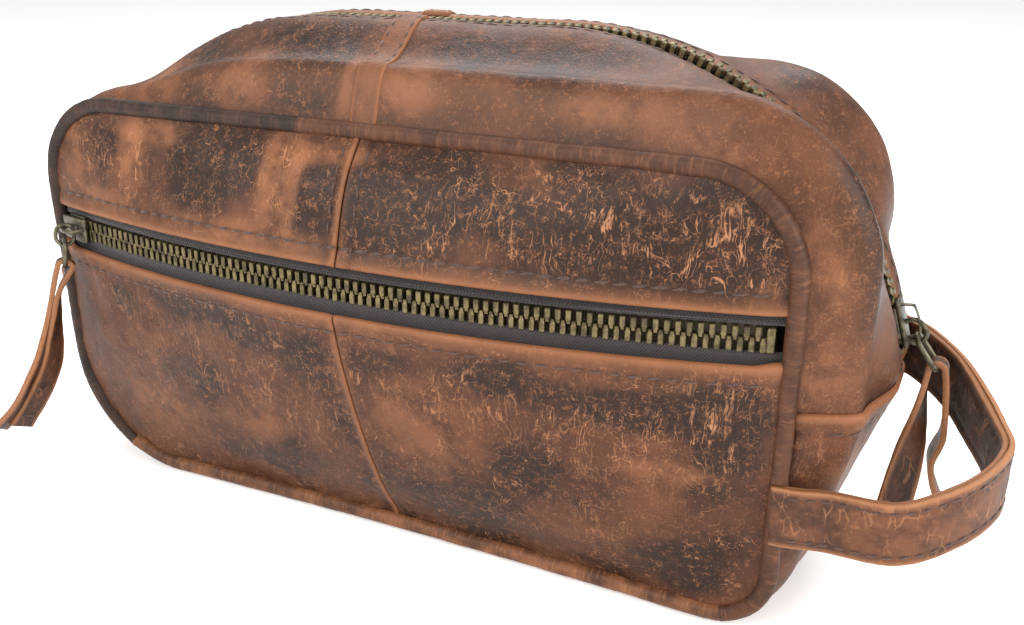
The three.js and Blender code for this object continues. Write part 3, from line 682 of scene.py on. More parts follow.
def leatherSheet(name, points, facing, wall, rolls, lift, masks):
    # rolls holds the rounding radius at the start and end of each way across the sheet
    normal = gridNormals(points, facing)
    u, v = gridDistances(points)
    drop = np.zeros(u.shape)
    for room, radius in ((u, rolls[0]), (u[-1:] - u, rolls[1]), (v, rolls[2]), (v[:, -1:] - v, rolls[3])):
        if radius:
            inside = np.clip(radius - room, 0, radius)
            drop = np.maximum(drop, radius - np.sqrt(np.maximum(0, radius**2 - inside**2)))
    rows, columns = u.shape
    outer = points + normal * (lift - np.minimum(drop, wall * 0.98))[..., None]
    inner = points + normal * (lift - wall)[..., None]
    index = np.arange(rows * columns).reshape(rows, columns)
    under = index + rows * columns

    def quads(a):
        return np.stack([a[:-1, :-1], a[1:, :-1], a[1:, 1:], a[:-1, 1:]], axis=-1).reshape(-1, 4)

    faces = [quads(index), quads(under)[:, ::-1]]
    for edge in (index[::-1, 0], index[-1, ::-1], index[:, -1], index[0]):
        low = edge + rows * columns
        faces.append(np.stack([edge[:-1], edge[1:], low[1:], low[:-1]], axis=-1))
    faces = np.concatenate(faces)
    allPoints = np.concatenate([outer.reshape(-1, 3), inner.reshape(-1, 3)])
    faces = facedOut(allPoints, faces)
    uv = np.stack([u, v], axis=-1).reshape(-1, 2)
    both = {}
    for key, value in masks.items():
        both[key] = np.concatenate([np.broadcast_to(value, u.shape).ravel()] * 2)
    return meshPiece(name, allPoints, faces, np.concatenate([uv, uv]), both)


def facedOut(points, faces):
    a, b, c, d = (points[faces[:, k]] for k in range(4))
    middle = points.mean(axis=0)
    volume = np.sum(np.einsum("ij,ij->i", a - middle, np.cross(b - middle, c - middle)))
    volume += np.sum(np.einsum("ij,ij->i", a - middle, np.cross(c - middle, d - middle)))
    return faces if volume > 0 else faces[:, ::-1]


def spots(points, marks):
    # each mark is x, z, half width, half height, strength, in millimetres on the bag's face
    total = np.zeros(points.shape[:-1])
    for x, z, wide, high, strength in marks:
        d = ((points[..., 0] - x) / wide) ** 2 + ((points[..., 2] - z) / high) ** 2
        total += strength * np.exp(-(d**1.5))
    return np.clip(total, 0, 1)


# ---- stitches ----
stitch = {"pitch": 4.4, "length": 3.5, "radius": 0.36}


def stitchShape():
    bpy.ops.object.select_all(action="DESELECT")
    bpy.ops.mesh.primitive_uv_sphere_add(segments=6, ring_count=5, radius=1)
    made = bpy.context.object
    bpy.ops.object.mode_set(mode="EDIT")
    bpy.ops.mesh.select_all(action="SELECT")
    bpy.ops.transform.rotate(value=math.pi / 2, orient_axis="Y", center_override=(0, 0, 0))
    bpy.ops.object.mode_set(mode="OBJECT")
    points = np.array([v.co[:] for v in made.data.vertices])
    faces = [list(face.vertices) for face in made.data.polygons]
    bpy.data.objects.remove(made)
    return points, faces


stitchPoints, stitchFaces = stitchShape()


def stitchRow(name, path, onto, body, radius=None, pitch=None, sink=0.05):
    # a row of stitches laid along a path of points, each set down on the leather under it
    radius = radius or stitch["radius"]
    pitch = pitch or stitch["pitch"]
    path = np.asarray(path, float)
    length = np.concatenate([[0], np.cumsum(np.linalg.norm(np.diff(path, axis=0), axis=1))])
    count = int(length[-1] / pitch)
    trees = [BVHTree.FromPolygons(
        [v.co[:] for v in piece.data.vertices], [list(f.vertices) for f in piece.data.polygons]
    ) for piece in onto]
    points, faces = [], []
    for k in range(count):
        middle = (k + 0.5) * length[-1] / count
        ends = [np.array([np.interp(middle + d, length, path[:, a]) for a in range(3)]) for d in (-1, 0, 1)]
        found = min((t.find_nearest(Vector(ends[1]) * mm) for t in trees), key=lambda hit: hit[3])
        at, up = Vector(found[0]) / mm, found[1]
        run = Vector(ends[2] - ends[0]).normalized()
        side = up.cross(run).normalized()
        run = side.cross(up).normalized()
        lean = Matrix.Rotation(math.radians(chance.uniform(3, 9)), 3, up)
        run, side = lean @ run, lean @ side
        half = stitch["length"] / 2 * pitch / stitch["pitch"] * chance.uniform(0.93, 1.05)
        for p in stitchPoints:
            arched = (1 - p[0] ** 2) * 0.22 - 0.1 - sink
            spot = at + run * (p[0] * half) + side * (p[1] * radius) + up * (p[2] * radius * 0.7 + arched)
            points.append(spot[:])
        faces += [[i + k * len(stitchPoints) for i in face] for face in stitchFaces]
    piece = meshPiece(name, np.array(points), faces)
    return settle(piece, "thread", body)


# ---- front panels ----
jointRowAt = {"Left": -3.3, "Right": 3.9}  # stitch rows beside the middle joint
front = {"wall": 1.4, "inset": 0.7, "step": 0.75, "edge": 1.3, "stitchUp": 90.8, "stitchLow": 69.3}
darkMarks = [
    (-48, 105, 11, 9, 0.9), (-34, 106, 8, 9, 0.8), (-88, 108, 10, 7, 0.5), (-8, 103, 7, 8, 0.7),
    (10, 103, 9, 9, 0.8), (26, 107, 13, 8, 0.9), (44, 103, 10, 8, 0.7), (68, 101, 14, 9, 1.0),
    (93, 105, 11, 9, 0.8), (84, 96, 12, 4, 0.6),
    (-50, 69, 15, 6, 0.9), (-27, 63, 14, 6, 0.8), (-84, 62, 10, 8, 0.5), (-10, 62, 8, 6, 0.5),
    (12, 62, 10, 5, 0.7), (48, 64, 16, 5, 0.6), (76, 60, 22, 6, 0.9), (100, 62, 9, 8, 0.8),
    (60, 34, 16, 10, 0.6), (98, 36, 9, 18, 0.6), (-60, 40, 14, 9, 0.5), (92, 14, 12, 8, 0.8),
    (-20, 22, 14, 8, 0.4), (30, 20, 16, 7, 0.4),
]
lightMarks = [
    (-75, 105, 4, 10, 0.9), (-23, 104, 4, 11, 1.0), (-16, 104, 3, 11, 0.7), (-100, 104, 8, 8, 0.5),
    (-62, 112, 20, 3, 0.6), (-10, 112, 14, 3, 0.8), (-90, 92, 20, 3, 0.4), (-30, 91, 25, 3, 0.6),
    (88, 44, 14, 3, 0.6), (-70, 30, 20, 10, 0.4), (-35, 34, 12, 8, 0.35), (20, 44, 14, 10, 0.35),
    (-96, 76, 10, 4, 0.5), (105, 90, 5, 5, 0.5),
]
fanMarks = [
    (-75, 104, 9, 13, 1.0), (-20, 104, 13, 13, 1.0), (25, 102, 11, 14, 0.9), (40, 106, 10, 12, 0.7),
    (-50, 100, 12, 12, 0.45), (0, 102, 7, 12, 0.45), (-92, 102, 9, 12, 0.5),
    (-75, 60, 16, 12, 0.5), (-30, 66, 18, 8, 0.6), (5, 58, 16, 14, 0.5),
]
leanMarks = [
    (52, 103, 11, 13, 0.8), (62, 105, 10, 12, 0.9), (86, 102, 16, 12, 1.0), (99, 97, 9, 8, 0.9),
    (78, 50, 26, 12, 0.8), (98, 66, 10, 10, 0.6), (-45, 50, 20, 14, 0.55), (36, 56, 22, 10, 0.6),
    (60, 22, 26, 10, 0.45), (-10, 40, 20, 14, 0.5),
]


def frontPanel(name, low, high, sideWord, upper):
    left = sideWord == "Left"
    inset, step = front["inset"], front["step"]
    u = crowded(110, step, front["edge"])
    v = crowded(high - low, step, front["edge"])
    U, V = np.meshgrid(u, v, indexing="ij")
    z = mix(low, high, V)
    joint = jointX(z)
    x0 = reach(z, -1, inset) if left else joint + 0.12
    x1 = joint - 0.12 if left else reach(z, 1, inset)
    x = mix(x0, x1, U)
    if not upper:  # the lower edge of the opening turns up to meet the piping at its ends
        z = z + smooth((V - 0.8) / 0.2) * (0.9 * smooth((x - 103) / 6) + 2.0 * smooth((-x - 103) / 8))
    points = np.stack([x, frontFace(x, z), z], axis=-1)

    toJoint = np.abs(x - joint)
    openEdge = (z - high) if not upper else (low - z)
    toOpening = np.abs(openEdge)
    row = front["stitchUp"] if upper else front["stitchLow"]
    rowDepth = 1.0 if upper else 0.55
    puckers = 0.6 + 0.4 * np.cos(2 * np.pi * x / stitch["pitch"])
    groove = near(z - row, 0.75) * rowDepth
    jointRows = np.zeros_like(x)
    if upper:
        jointRows = sum(near(x - at, 0.7) for at in jointRowAt.values())
    lift = waves(points, (0.75, 26, 3.1), (0.30, 9, 7.7), (0.11, 3.0, 1.3))
    diagonal = points.copy()
    diagonal[..., 0] = (x * 0.80 + z * 0.60) / 26
    diagonal[..., 2] = (-x * 0.60 + z * 0.80) / 4.2
    diagonal[..., 1] = 0
    pleated = smooth((60 - x) / 80) * smooth((68 - z) / 12)
    pleats = 0 if upper else 0.30 * noiseAt(diagonal, 1.0, 5.0) * pleated
    upright = points.copy()
    upright[..., 0] = x / 3.4
    upright[..., 2] = z / 18
    upright[..., 1] = 0
    creases = 0.26 * noiseAt(upright, 1.0, 9.0) * spots(points, fanMarks) if upper else 0
    calm = smooth(np.minimum(toOpening, toJoint) / 6 + 0.25)
    lift = (lift + pleats + creases) * calm
    lift = lift - 0.30 * groove * puckers - 0.28 * jointRows * puckers
    lift = lift + 0.35 * near(toOpening, 3.0)
    ridge = (0.85 if upper else 0.5) if left else 0.12
    lift = lift + ridge * near(toJoint, 1.5 if upper else 1.1)
    edgeWear = near(toOpening, 1.3) + 0.45 * near(toOpening, 3.6)
    jointWear = (1.0 if left else 0.3) * near(toJoint, 1.4)
    masks = {
        "dark": spots(points, darkMarks),
        "light": spots(points, lightMarks),
        "fan": spots(points, fanMarks),
        "lean": spots(points, leanMarks),
        "wear": np.clip(edgeWear + jointWear, 0, 1),
        "groove": np.clip(groove * puckers + 0.8 * jointRows * puckers, 0, 1),
    }
    rolls = (0, 1.0, 0, 0) if left else (0.7, 0, 0, 0)
    rolls = (rolls[0], rolls[1], 1.15 if upper else 0, 0 if upper else 1.15)
    piece = leatherSheet(name, points, np.array([0, -1, 0]), front["wall"], rolls, lift, masks)
    return piece


frontPieces = {}
panelLevels = {
    "Lower": (seam["bottom"] + front["inset"], frontZip["z"] - frontZip["half"]),
    "Upper": (frontZip["z"] + frontZip["half"], seam["top"] - front["inset"]),
}
for level, (low, high) in panelLevels.items():
    for sideWord in ("Left", "Right"):
        key = level.lower() + sideWord
        piece = frontPanel(f"front{level}{sideWord}Leather", low, high, sideWord, level == "Upper")
        node = f"front_{level.lower()}_{sideWord.lower()}_panel"
        frontPieces[key] = settle(piece, key, "bag", [node])
print("front panels made")


# ---- back panels ----
def backPanel(name, sideWord):
    left = sideWord == "Left"
    low, high = seam["bottom"] + front["inset"], seam["top"] - front["inset"]
    u = crowded(110, 1.3, front["edge"])
    v = crowded(high - low, 1.2, front["edge"])
    U, V = np.meshgrid(u, v, indexing="ij")
    z = mix(low, high, V)
    joint = jointX(z)
    x0 = reach(z, -1, front["inset"]) if left else joint + 0.12
    x1 = joint - 0.12 if left else reach(z, 1, front["inset"])
    x = mix(x0, x1, U)
    points = np.stack([x, backFace(x, z), z], axis=-1)
    toJoint = np.abs(x - joint)
    lift = waves(points, (0.8, 27, 12.1), (0.3, 9, 4.7), (0.1, 3.0, 2.3))
    lift = lift * smooth(toJoint / 6 + 0.25) + (0.7 if left else 0.1) * near(toJoint, 1.4)
    rows = sum(near(x - joint - at, 0.7) for at in jointRowAt.values())
    puckers = 0.6 + 0.4 * np.cos(2 * np.pi * z / stitch["pitch"])
    lift = lift - 0.28 * rows * puckers
    masks = {
        "dark": patches(points, 24, 31.0, 1.4),
        "light": patches(points, 17, 41.0, 1.1),
        "fan": patches(points, 22, 51.0, 2.2),
        "lean": patches(points, 22, 61.0, 2.2),
        "wear": (1.0 if left else 0.3) * near(toJoint, 1.4),
        "groove": np.clip(0.8 * rows * puckers, 0, 1),
    }
    rolls = (0, 1.0, 0, 0) if left else (0.7, 0, 0, 0)
    return leatherSheet(name, points, np.array([0, 1, 0]), front["wall"], rolls, lift, masks)


backPieces = {}
for sideWord in ("Left", "Right"):
    piece = backPanel(f"back{sideWord}Leather", sideWord)
    backPieces[sideWord] = settle(piece, "back", "bag", [f"back_{sideWord.lower()}_panel"])
print("back panels made")


# ---- top gussets, their joint strips and the base band ----
top = {"wall": 1.4, "step": 1.0, "stripHalf": 4.0, "zipHalf": 5.0, "stitchIn": 3.6}
topDark = [  # x, height, half width, half height, strength: seen from the front
    (-19, 129, 12, 8, 0.9), (-55, 127, 16, 7, 0.5), (-92, 112, 12, 9, 0.4), (24, 136, 13, 4, 0.7),
    (44, 133, 12, 6, 0.7), (60, 138, 14, 3, 0.5), (121, 112, 6, 12, 0.9), (125, 92, 5, 12, 0.5),
    (104, 122, 10, 5, 0.4), (84, 128, 14, 4, 0.3), (-38, 138, 14, 4, 0.5),
]
topLight = [
    (12, 129, 8, 6, 0.6), (64, 127, 16, 4, 0.5), (92, 120, 14, 6, 0.4), (-6, 132, 3, 12, 0.5),
    (-40, 126, 10, 6, 0.5), (-74, 124, 12, 5, 0.6), (117, 98, 6, 14, 0.5), (118, 72, 8, 6, 0.6),
]


def zipOpening(s):
    # the leather closes over the tape towards the end where the slider rests
    x, z, _, _ = seamAt(s)
    return top["zipHalf"] - 0.4 * smooth((x - 60) / 45)


def gussetGrid(side, from_, to, step, low=0.012):
    length = abs(to - from_) * seamLength[-1] * 1.25
    u = crowded(length, step, 1.2)
    v = crowded(46, step, 1.2)
    U, V = np.meshgrid(u, v, indexing="ij")
    s = mix(from_, to, U)
    last = 1 - zipOpening(s) / seam["depth"]
    q = mix(low, last, V)
    return s, q, gusset(side, s, q)


def topPiece(name, side, from_, to, isStrip, marks):
    s, q, points = gussetGrid(side, from_, to, 0.9 if isStrip else top["step"])
    x, y, z = points[..., 0], points[..., 1], points[..., 2]
    facing = np.stack([x / 4, y, (z - 60) / 2], axis=-1)
    toZip = np.abs(np.abs(y) - zipOpening(s))
    row = near(toZip - top["stitchIn"], 0.75)
    sx = seamAt(s)[0]
    puckers = 0.6 + 0.4 * np.cos(2 * np.pi * s * seamLength[-1] * 1.18 / stitch["pitch"])
    lift = waves(points, (0.55, 30, 21.3), (0.28, 11, 6.1), (0.08, 3.2, 8.8))
    lift = lift * smooth(toZip / 7 + 0.2) * smooth(q * 6)
    roll = 0.5 * near(q - 0.15, 0.05)
    dip = 0.9 + 0.55 * smooth((sx - 45) / 30)
    lift = lift - dip * near(toZip, 3.4) - 0.22 * row * puckers + roll * 0.4
    wear = 0.9 * near(toZip, 1.1) + 0.35 * near(toZip, 3.2)
    wear = wear + 0.25 * near(q - 0.13, 0.07)
    groove = 0.9 * row * puckers
    rolls = (0, 0, 0, 1.1)
    if isStrip:
        side1, side2 = np.abs(sx - top["stripHalf"] + 1.2), np.abs(sx + top["stripHalf"] - 1.2)
        rows = near(side1, 0.55) + near(side2, 0.55)
        lift = lift * 0.5 + 0.75 - 0.2 * rows
        wear = wear + 0.75 * near(np.abs(np.abs(sx) - top["stripHalf"]), 0.7) + 0.35
        groove = groove + 0.4 * rows
        rolls = (0.9, 0.9, 0, 1.1)
    else:
        under = smooth((bandTop + 9 - seamAt(s)[1]) / 7)
        lift = lift * (1 - under) - 0.25 * under
    masks = {
        "dark": spots(points, marks["dark"]),
        "light": spots(points, marks["light"]),
        "fan": patches(points, 24, 71.0, 1.6),
        "lean": patches(points, 24, 81.0, 1.4),
        "wear": np.clip(wear, 0, 1),
        "groove": np.clip(groove, 0, 1),
    }
    return leatherSheet(name, points, facing, top["wall"], rolls, lift, masks)


half = top["stripHalf"]
hiddenUnderBand = 6 / seamLength[-1]
topPieces = {}
for word, side in (("Front", -1), ("Back", 1)):
    marks = {"dark": topDark, "light": topLight}
    if side > 0:
        marks["dark"] = [(-x * 0.8 + 20, *rest) for x, *rest in topDark]
        marks["light"] = [(x - 12, *rest) for x, *rest in topLight]
    runs = {
        "Right": (share["rightBand"] - hiddenUnderBand, shareAtTop(half - 1.5), False, "topRight"),
        "Left": (shareAtTop(-half + 1.5), share["leftBand"] + hiddenUnderBand, False, "topLeft"),
        "Strip": (shareAtTop(half), shareAtTop(-half), True, "strip"),
    }
    for key, (from_, to, isStrip, finish) in runs.items():
        label = f"top{word}{key}" + ("" if isStrip else "Leather")
        node = f"top_{word.lower()}_strip" if isStrip else f"top_{word.lower()}_{key.lower()}_gusset"
        piece = topPiece(label, side, from_, to, isStrip, marks)
        topPieces[word + key] = settle(piece, finish, "bag", [node])


def bandSurface(s, v):
    side = np.where(v < 0.5, -1, 1)
    q = mix(0.02, 1, 1 - np.abs(2 * v - 1))
    frontHalf = gusset(-1, s, q)
    backHalf = gusset(1, s, q)
    return np.where((side < 0)[..., None], frontHalf, backHalf)


bandStitchIn = 5.6  # from the band's end to its row of stitches
bandStretch = 1.1  # length of the band against its share of the seam


def baseBand():
    from_, to = share["leftBand"], 1 + share["rightBand"]
    length = (to - from_) * seamLength[-1] * bandStretch
    u = crowded(length, 1.5, 1.2)
    v = np.linspace(0, 1, 67)
    U, V = np.meshgrid(u, v, indexing="ij")
    s = mix(from_, to, U)
    points = bandSurface(s, V)
    x, z = points[..., 0], points[..., 2]
    facing = np.stack([x / 2, 0 * x, (z - 45) * 3], axis=-1)
    toEnd = np.minimum(U, 1 - U) * length
    row = near(toEnd - bandStitchIn, 0.75)
    puckers = 0.6 + 0.4 * np.cos(2 * np.pi * V * 80 / stitch["pitch"])
    lift = waves(points, (0.55, 26, 91.3), (0.25, 9, 16.1), (0.08, 3, 18.8))
    flat = smooth((z - 3) / 10)
    lift = lift * flat * smooth(toEnd / 8 + 0.15)
    lift = lift + 0.35 + 0.95 * near(toEnd, 7) - 0.3 * row * puckers
    lift = lift * smooth(z / 5)
    masks = {
        "dark": patches(points, 22, 14.0, 0.9),
        "light": patches(points, 15, 44.0, 1.3),
        "fan": patches(points, 20, 54.0, 1.2),
        "lean": patches(points, 20, 64.0, 1.2),
        "wear": np.clip(1.3 * near(toEnd, 1.5) + 0.3 * near(toEnd, 4), 0, 1),
        "groove": np.clip(row * puckers, 0, 1),
    }
    return leatherSheet("baseBandLeather", points, facing, top["wall"], (1.3, 1.3, 0, 0), lift, masks)


band = settle(baseBand(), "band", "bag", ["base_gusset"])
print("gussets and band made")


# ---- piping ----
piping = {"r": 2.25, "sides": 20, "step": 0.7, "fold": 0.09}


def pipe(name, side, from_, to, seed, flare):
    run = np.linspace(from_, to, int((to - from_) * seamLength[-1] / piping["step"]) + 1)
    x, z, tx, tz = seamAt(run)
    turn = np.linspace(0, 2 * np.pi, piping["sides"], endpoint=False)
    R, A = np.meshgrid(run, turn, indexing="ij")
    centre = np.stack([x, side * seamDepth(x, z), z], axis=-1)[:, None, :]
    out = np.stack([tz, 0 * tx, -tx], axis=-1)[:, None, :]
    across = np.array([0, side, 0])[None, None, :]
    at = np.stack([R * seamLength[-1] / 0.8, np.cos(A) * 0.6, np.sin(A) * 0.6], axis=-1)
    slow = np.stack([R * seamLength[-1] / 9, np.cos(A), np.sin(A)], axis=-1)
    end = np.minimum(R - from_, to - R) * seamLength[-1]
    r = piping["r"] + piping["fold"] * noiseAt(at, 1.0, seed) + 0.14 * noiseAt(slow, 1.0, seed + 5)
    r = r + flare * near(end, 1.6) - 0.5 * near(end, 0.25)
    points = centre + out * (r * np.cos(A))[..., None] + across * (r * np.sin(A))[..., None]
    rows, columns = R.shape
    index = np.arange(rows * columns).reshape(rows, columns)
    wrapped = np.concatenate([index, index[:, :1]], axis=1)
    faces = np.stack([wrapped[:-1, :-1], wrapped[1:, :-1], wrapped[1:, 1:], wrapped[:-1, 1:]], axis=-1)
    faces = faces.reshape(-1, 4)
    flat = points.reshape(-1, 3)
    # the faces point away from the tube's middle, which the first one shows
    a, b, c, d = (flat[faces[0, k]] for k in range(4))
    if np.dot(np.cross(b - a, d - a), (a + c) / 2 - centre[0, 0]) < 0:
        faces = faces[:, ::-1]
        caps = [index[0].tolist(), index[-1][::-1].tolist()]
    else:
        caps = [index[0][::-1].tolist(), index[-1].tolist()]
    for cap, direction in zip(caps, (-1, 1)):
        ring = flat[cap]
        normal = np.cross(ring[1] - ring[0], ring[2] - ring[1])
        tangent = (centre[-1, 0] - centre[-2, 0]) if direction > 0 else (centre[1, 0] - centre[0, 0])
        if np.dot(normal, tangent) * direction < 0:
            cap.reverse()
    uv = np.stack([R * seamLength[-1], A * piping["r"]], axis=-1).reshape(-1, 2)
    return meshPiece(name, flat, [*faces.tolist(), *caps], uv)


lap = 1.6 / seamLength[-1]
baseFrom, baseTo, pipeJoint = share["baseFrom"], share["baseTo"], share["pipeJoint"]
pipes = {  # side, start, end, seed, flare, finish, node
    "frontPipingRight": (-1, baseTo, pipeJoint + lap, 2.0, 0.20, "pipingMid", "front_piping_right"),
    "frontPipingLeft": (-1, pipeJoint, baseFrom, 4.0, 0, "pipingDark", "front_piping_left"),
    "frontPipingBase": (-1, baseFrom - lap, 1 + baseTo + lap, 6.0, 0.2, "pipingTan", "front_piping_base"),
    "backPipingUpper": (1, baseTo, baseFrom, 8.0, 0, "pipingMid", "back_piping_upper"),
    "backPipingBase": (1, baseFrom - lap, 1 + baseTo + lap, 9.0, 0.2, "pipingTan", "back_piping_base"),
}
for name, (side, from_, to, seed, flare, finish, node) in pipes.items():
    slotName = "dark_piping_leather" if finish == "pipingDark" else "piping_leather"
    settle(pipe(name, side, from_, to, seed, flare), finish, "bag", [node])
print("piping made")


# ---- zips: tapes, teeth and stops ----
chain = {"pitch": 2.54, "depth": 2.55, "tapeDepth": 2.9, "tapeWall": 0.5}
tooth = {"width": 1.32, "root": 3.05, "neck": 0.75, "tip": -0.42, "high": 2.3}


def frontZipPoint(x, h, depth):
    own = -np.sqrt((frontZip["r"] - depth) ** 2 - x * x) + frontZip["r"] - seam["depth"] - frontZip["bulge"]
    fall = frontFace(x, frontZip["z"] + h) - frontFace(x, frontZip["z"])
    return np.stack([x, own + np.where(np.abs(h) > 3.3, fall, 0), frontZip["z"] + h], axis=-1)


def zipTape(name, points, facing, beadAt):
    v = gridDistances(points)[1]
    inner = v if beadAt == "start" else v[:, -1:] - v
    bead = 0.5 * near(inner - 0.6, 0.7)
    lift = bead + 0.10 * noiseAt(points, 6, 2.0)
    return leatherSheet(name, points, facing, chain["tapeWall"], (0, 0, 0.2, 0.2), lift, {})


def toothShape():
    bpy.ops.object.select_all(action="DESELECT")
    bpy.ops.mesh.primitive_cube_add(size=1)
    made = bpy.context.object
    mesh = made.data
    for v in mesh.vertices:  # the root block, which clamps the tape
        v.co.x *= tooth["width"]
        v.co.y = tooth["root"] if v.co.y > 0 else tooth["neck"]
        v.co.z *= tooth["high"]
    bpy.ops.object.mode_set(mode="EDIT")
    bpy.ops.mesh.select_mode(type="FACE")
    bpy.ops.mesh.select_all(action="DESELECT")
    bpy.ops.object.mode_set(mode="OBJECT")
    for face in mesh.polygons:
        face.select = face.normal.y < -0.9
    bpy.ops.object.mode_set(mode="EDIT")
    stepOut = {"value": (0, (tooth["tip"] - tooth["neck"]) * 0.5, 0)}
    for size in ((0.66, 1, 0.86), (1.3, 1, 0.9)):
        bpy.ops.mesh.extrude_region_move(TRANSFORM_OT_translate=stepOut)
        bpy.ops.transform.resize(value=size)
    bpy.ops.object.mode_set(mode="OBJECT")
    bevel = made.modifiers.new("rounded", "BEVEL")
    bevel.width = 0.16
    bevel.segments = 1
    bevel.limit_method = "ANGLE"
    bevel.angle_limit = math.radians(40)
    bpy.ops.object.modifier_apply(modifier=bevel.name)
    points = np.array([v.co[:] for v in mesh.vertices])
    faces = [list(face.vertices) for face in mesh.polygons]
    bpy.data.objects.remove(made)
    return points, faces


toothPoints, toothFaces = toothShape()


def teethRow(name, place, sign, offset, first, last):
    # place(t) gives the middle of the chain, its run and its outward side, t millimetres along it
    points, faces = [], []
    k = 0
    t = first + offset
    while t < last:
        at, run, out = place(t)
        across = sign * np.cross(out, run)
        local = toothPoints * np.array([1 + chance.uniform(-0.03, 0.03), 1, 1])
        points.append(at + local[:, :1] * run + local[:, 1:2] * across + local[:, 2:] * out)
        faces += [[i + k * len(toothPoints) for i in face] for face in toothFaces]
        k += 1
        t += chain["pitch"]
    points = np.concatenate(points)
    at, run, out = place(first)
    basis = np.linalg.det(np.stack([run, sign * np.cross(out, run), out]))
    if basis < 0:
        faces = [face[::-1] for face in faces]
    piece = meshPiece(name, points, faces)
    piece.data.polygons.foreach_set("use_smooth", [False] * len(piece.data.polygons))
    return piece


def frontChain(t):
    r = frontZip["r"] - chain["depth"]
    a = t / r
    centre = frontZip["r"] - seam["depth"] - frontZip["bulge"]
    at = np.array([r * math.sin(a), centre - r * math.cos(a), frontZip["z"]])
    return at, np.array([math.cos(a), math.sin(a), 0]), np.array([math.sin(a), -math.cos(a), 0])


frontTeeth = (-101, 107.0)  # where the rows of teeth start and end along X
frontStopAt = 107.6
for word, sign in (("Upper", 1), ("Lower", -1)):
    u = np.linspace(-109.5, 110.4, 181)
    v = crowded(7.7, 0.7, 0.3)
    X, H = np.meshgrid(u, sign * mix(3.2, 10.9, v), indexing="ij")
    points = frontZipPoint(X, H, chain["tapeDepth"])
    tape = zipTape(f"frontZipTape{word}", points, np.array([0, -1, 0]), "start")
    settle(tape, "twill", "bag", [f"front_zip_tape_{word.lower()}"])
    offset = 0 if sign > 0 else chain["pitch"] / 2
    row = teethRow(f"frontZipTeeth{word}", frontChain, sign, offset, *frontTeeth)
    settle(row, "brass", "bag", [f"front_zip_teeth_{word.lower()}"])

# the main chain's path: points along the middle of the zip, with their outward side
mainShares = np.linspace(0.15, 0.85, 2400)
mainLine = gusset(-1, mainShares, np.full(2400, 1.0))
mainRun = np.gradient(mainLine, axis=0)
mainRun /= np.linalg.norm(mainRun, axis=1, keepdims=True)
mainOut = np.cross(mainRun, np.array([0, 1.0, 0]))
mainOut *= np.sign(np.sum(mainOut * (mainLine - np.array([0, 0, 60])), axis=1))[:, None]
mainRise = 0.5 + 1.1 * smooth((mainLine[:, 0] - 45) / 30) * smooth((mainLine[:, 2] - 87) / 14)
mainMiddle = mainLine - mainOut * (chain["depth"] - mainRise)[:, None]
mainLength = np.concatenate([[0], np.cumsum(np.linalg.norm(np.diff(mainMiddle, axis=0), axis=1))])
lowZ = arch["rightZ"] + arch["rightR"] * math.sin(math.radians(11))
overLow = np.where(mainLine[:, 2] > lowZ)[0]
mainFrom, mainTo = mainLength[overLow[0]], mainLength[overLow[-1]]


def mainChain(t):
    at = np.array([np.interp(t, mainLength, mainMiddle[:, k]) for k in range(3)])
    run = np.array([np.interp(t, mainLength, mainRun[:, k]) for k in range(3)])
    out = np.array([np.interp(t, mainLength, mainOut[:, k]) for k in range(3)])
    return at, run / np.linalg.norm(run), out / np.linalg.norm(out)


for word, side in (("Front", -1), ("Back", 1)):
    shares = np.linspace(mainShares[overLow[0]] - 0.008, mainShares[overLow[-1]] + 0.008, 341)
    v = crowded(8.7, 0.8, 0.3)
    S, Y = np.meshgrid(shares, mix(3.2, 11.9, v), indexing="ij")
    points = gusset(side, S, 1 - Y / seam["depth"])
    facing = np.stack([points[..., 0] / 4, 0 * points[..., 1], (points[..., 2] - 60) / 2], axis=-1)
    points = points - gridNormals(points, facing) * chain["tapeDepth"]
    tape = zipTape(f"mainZipTape{word}", points, facing, "start")
    settle(tape, "twill", "bag", [f"main_zip_tape_{word.lower()}"])
    offset = 0 if side > 0 else chain["pitch"] / 2
    row = teethRow(f"mainZipTeeth{word}", mainChain, side, offset, mainFrom + 3, mainTo - 4)
    settle(row, "brass", "bag", [f"main_zip_teeth_{word.lower()}"])


def roundedBlock(name, size, round_, segments=3):
    bpy.ops.object.select_all(action="DESELECT")
    bpy.ops.mesh.primitive_cube_add(size=1)
    made = bpy.context.object
    made.name = name
    for v in made.data.vertices:
        v.co *= Vector(size)
    bevel = made.modifiers.new("rounded", "BEVEL")
    bevel.width = round_
    bevel.segments = segments
    bpy.ops.object.modifier_apply(modifier=bevel.name)
    bpy.ops.object.shade_smooth_by_angle(angle=math.radians(40))
    return made


def placed(made, matrix):
    # the piece was made in millimetres about the origin: its place goes into its mesh
    made.data.transform(Matrix.Diagonal((mm, mm, mm, 1)) @ matrix)
    if matrix.determinant() < 0:
        made.data.flip_normals()
    return made


def frameMatrix(at, x, y, z):
    columns = Matrix((x, y, z)).transposed().to_4x4()
    columns.translation = Vector(at)
    return columns


def stop(name, place, t, node):
    at, run, out = place(t)
    made = roundedBlock(name, (2.0, 6.2, 2.6), 0.5)
    placed(made, frameMatrix(at, run, np.cross(out, run), out))
    settle(made, "brass", "bag", [node])


stop("frontZipEndStop", frontChain, frontStopAt, "front_zip_end_stop")
stop("mainZipEndStop", mainChain, mainTo - 1.5, "main_zip_end_stop")
print("zips made", len(toothFaces), "faces a tooth")


# ---- sliders and links ----
slider = {"long": 12.0, "wide": 9.4, "plate": 1.15, "face": 1.7, "bar": 5.7}


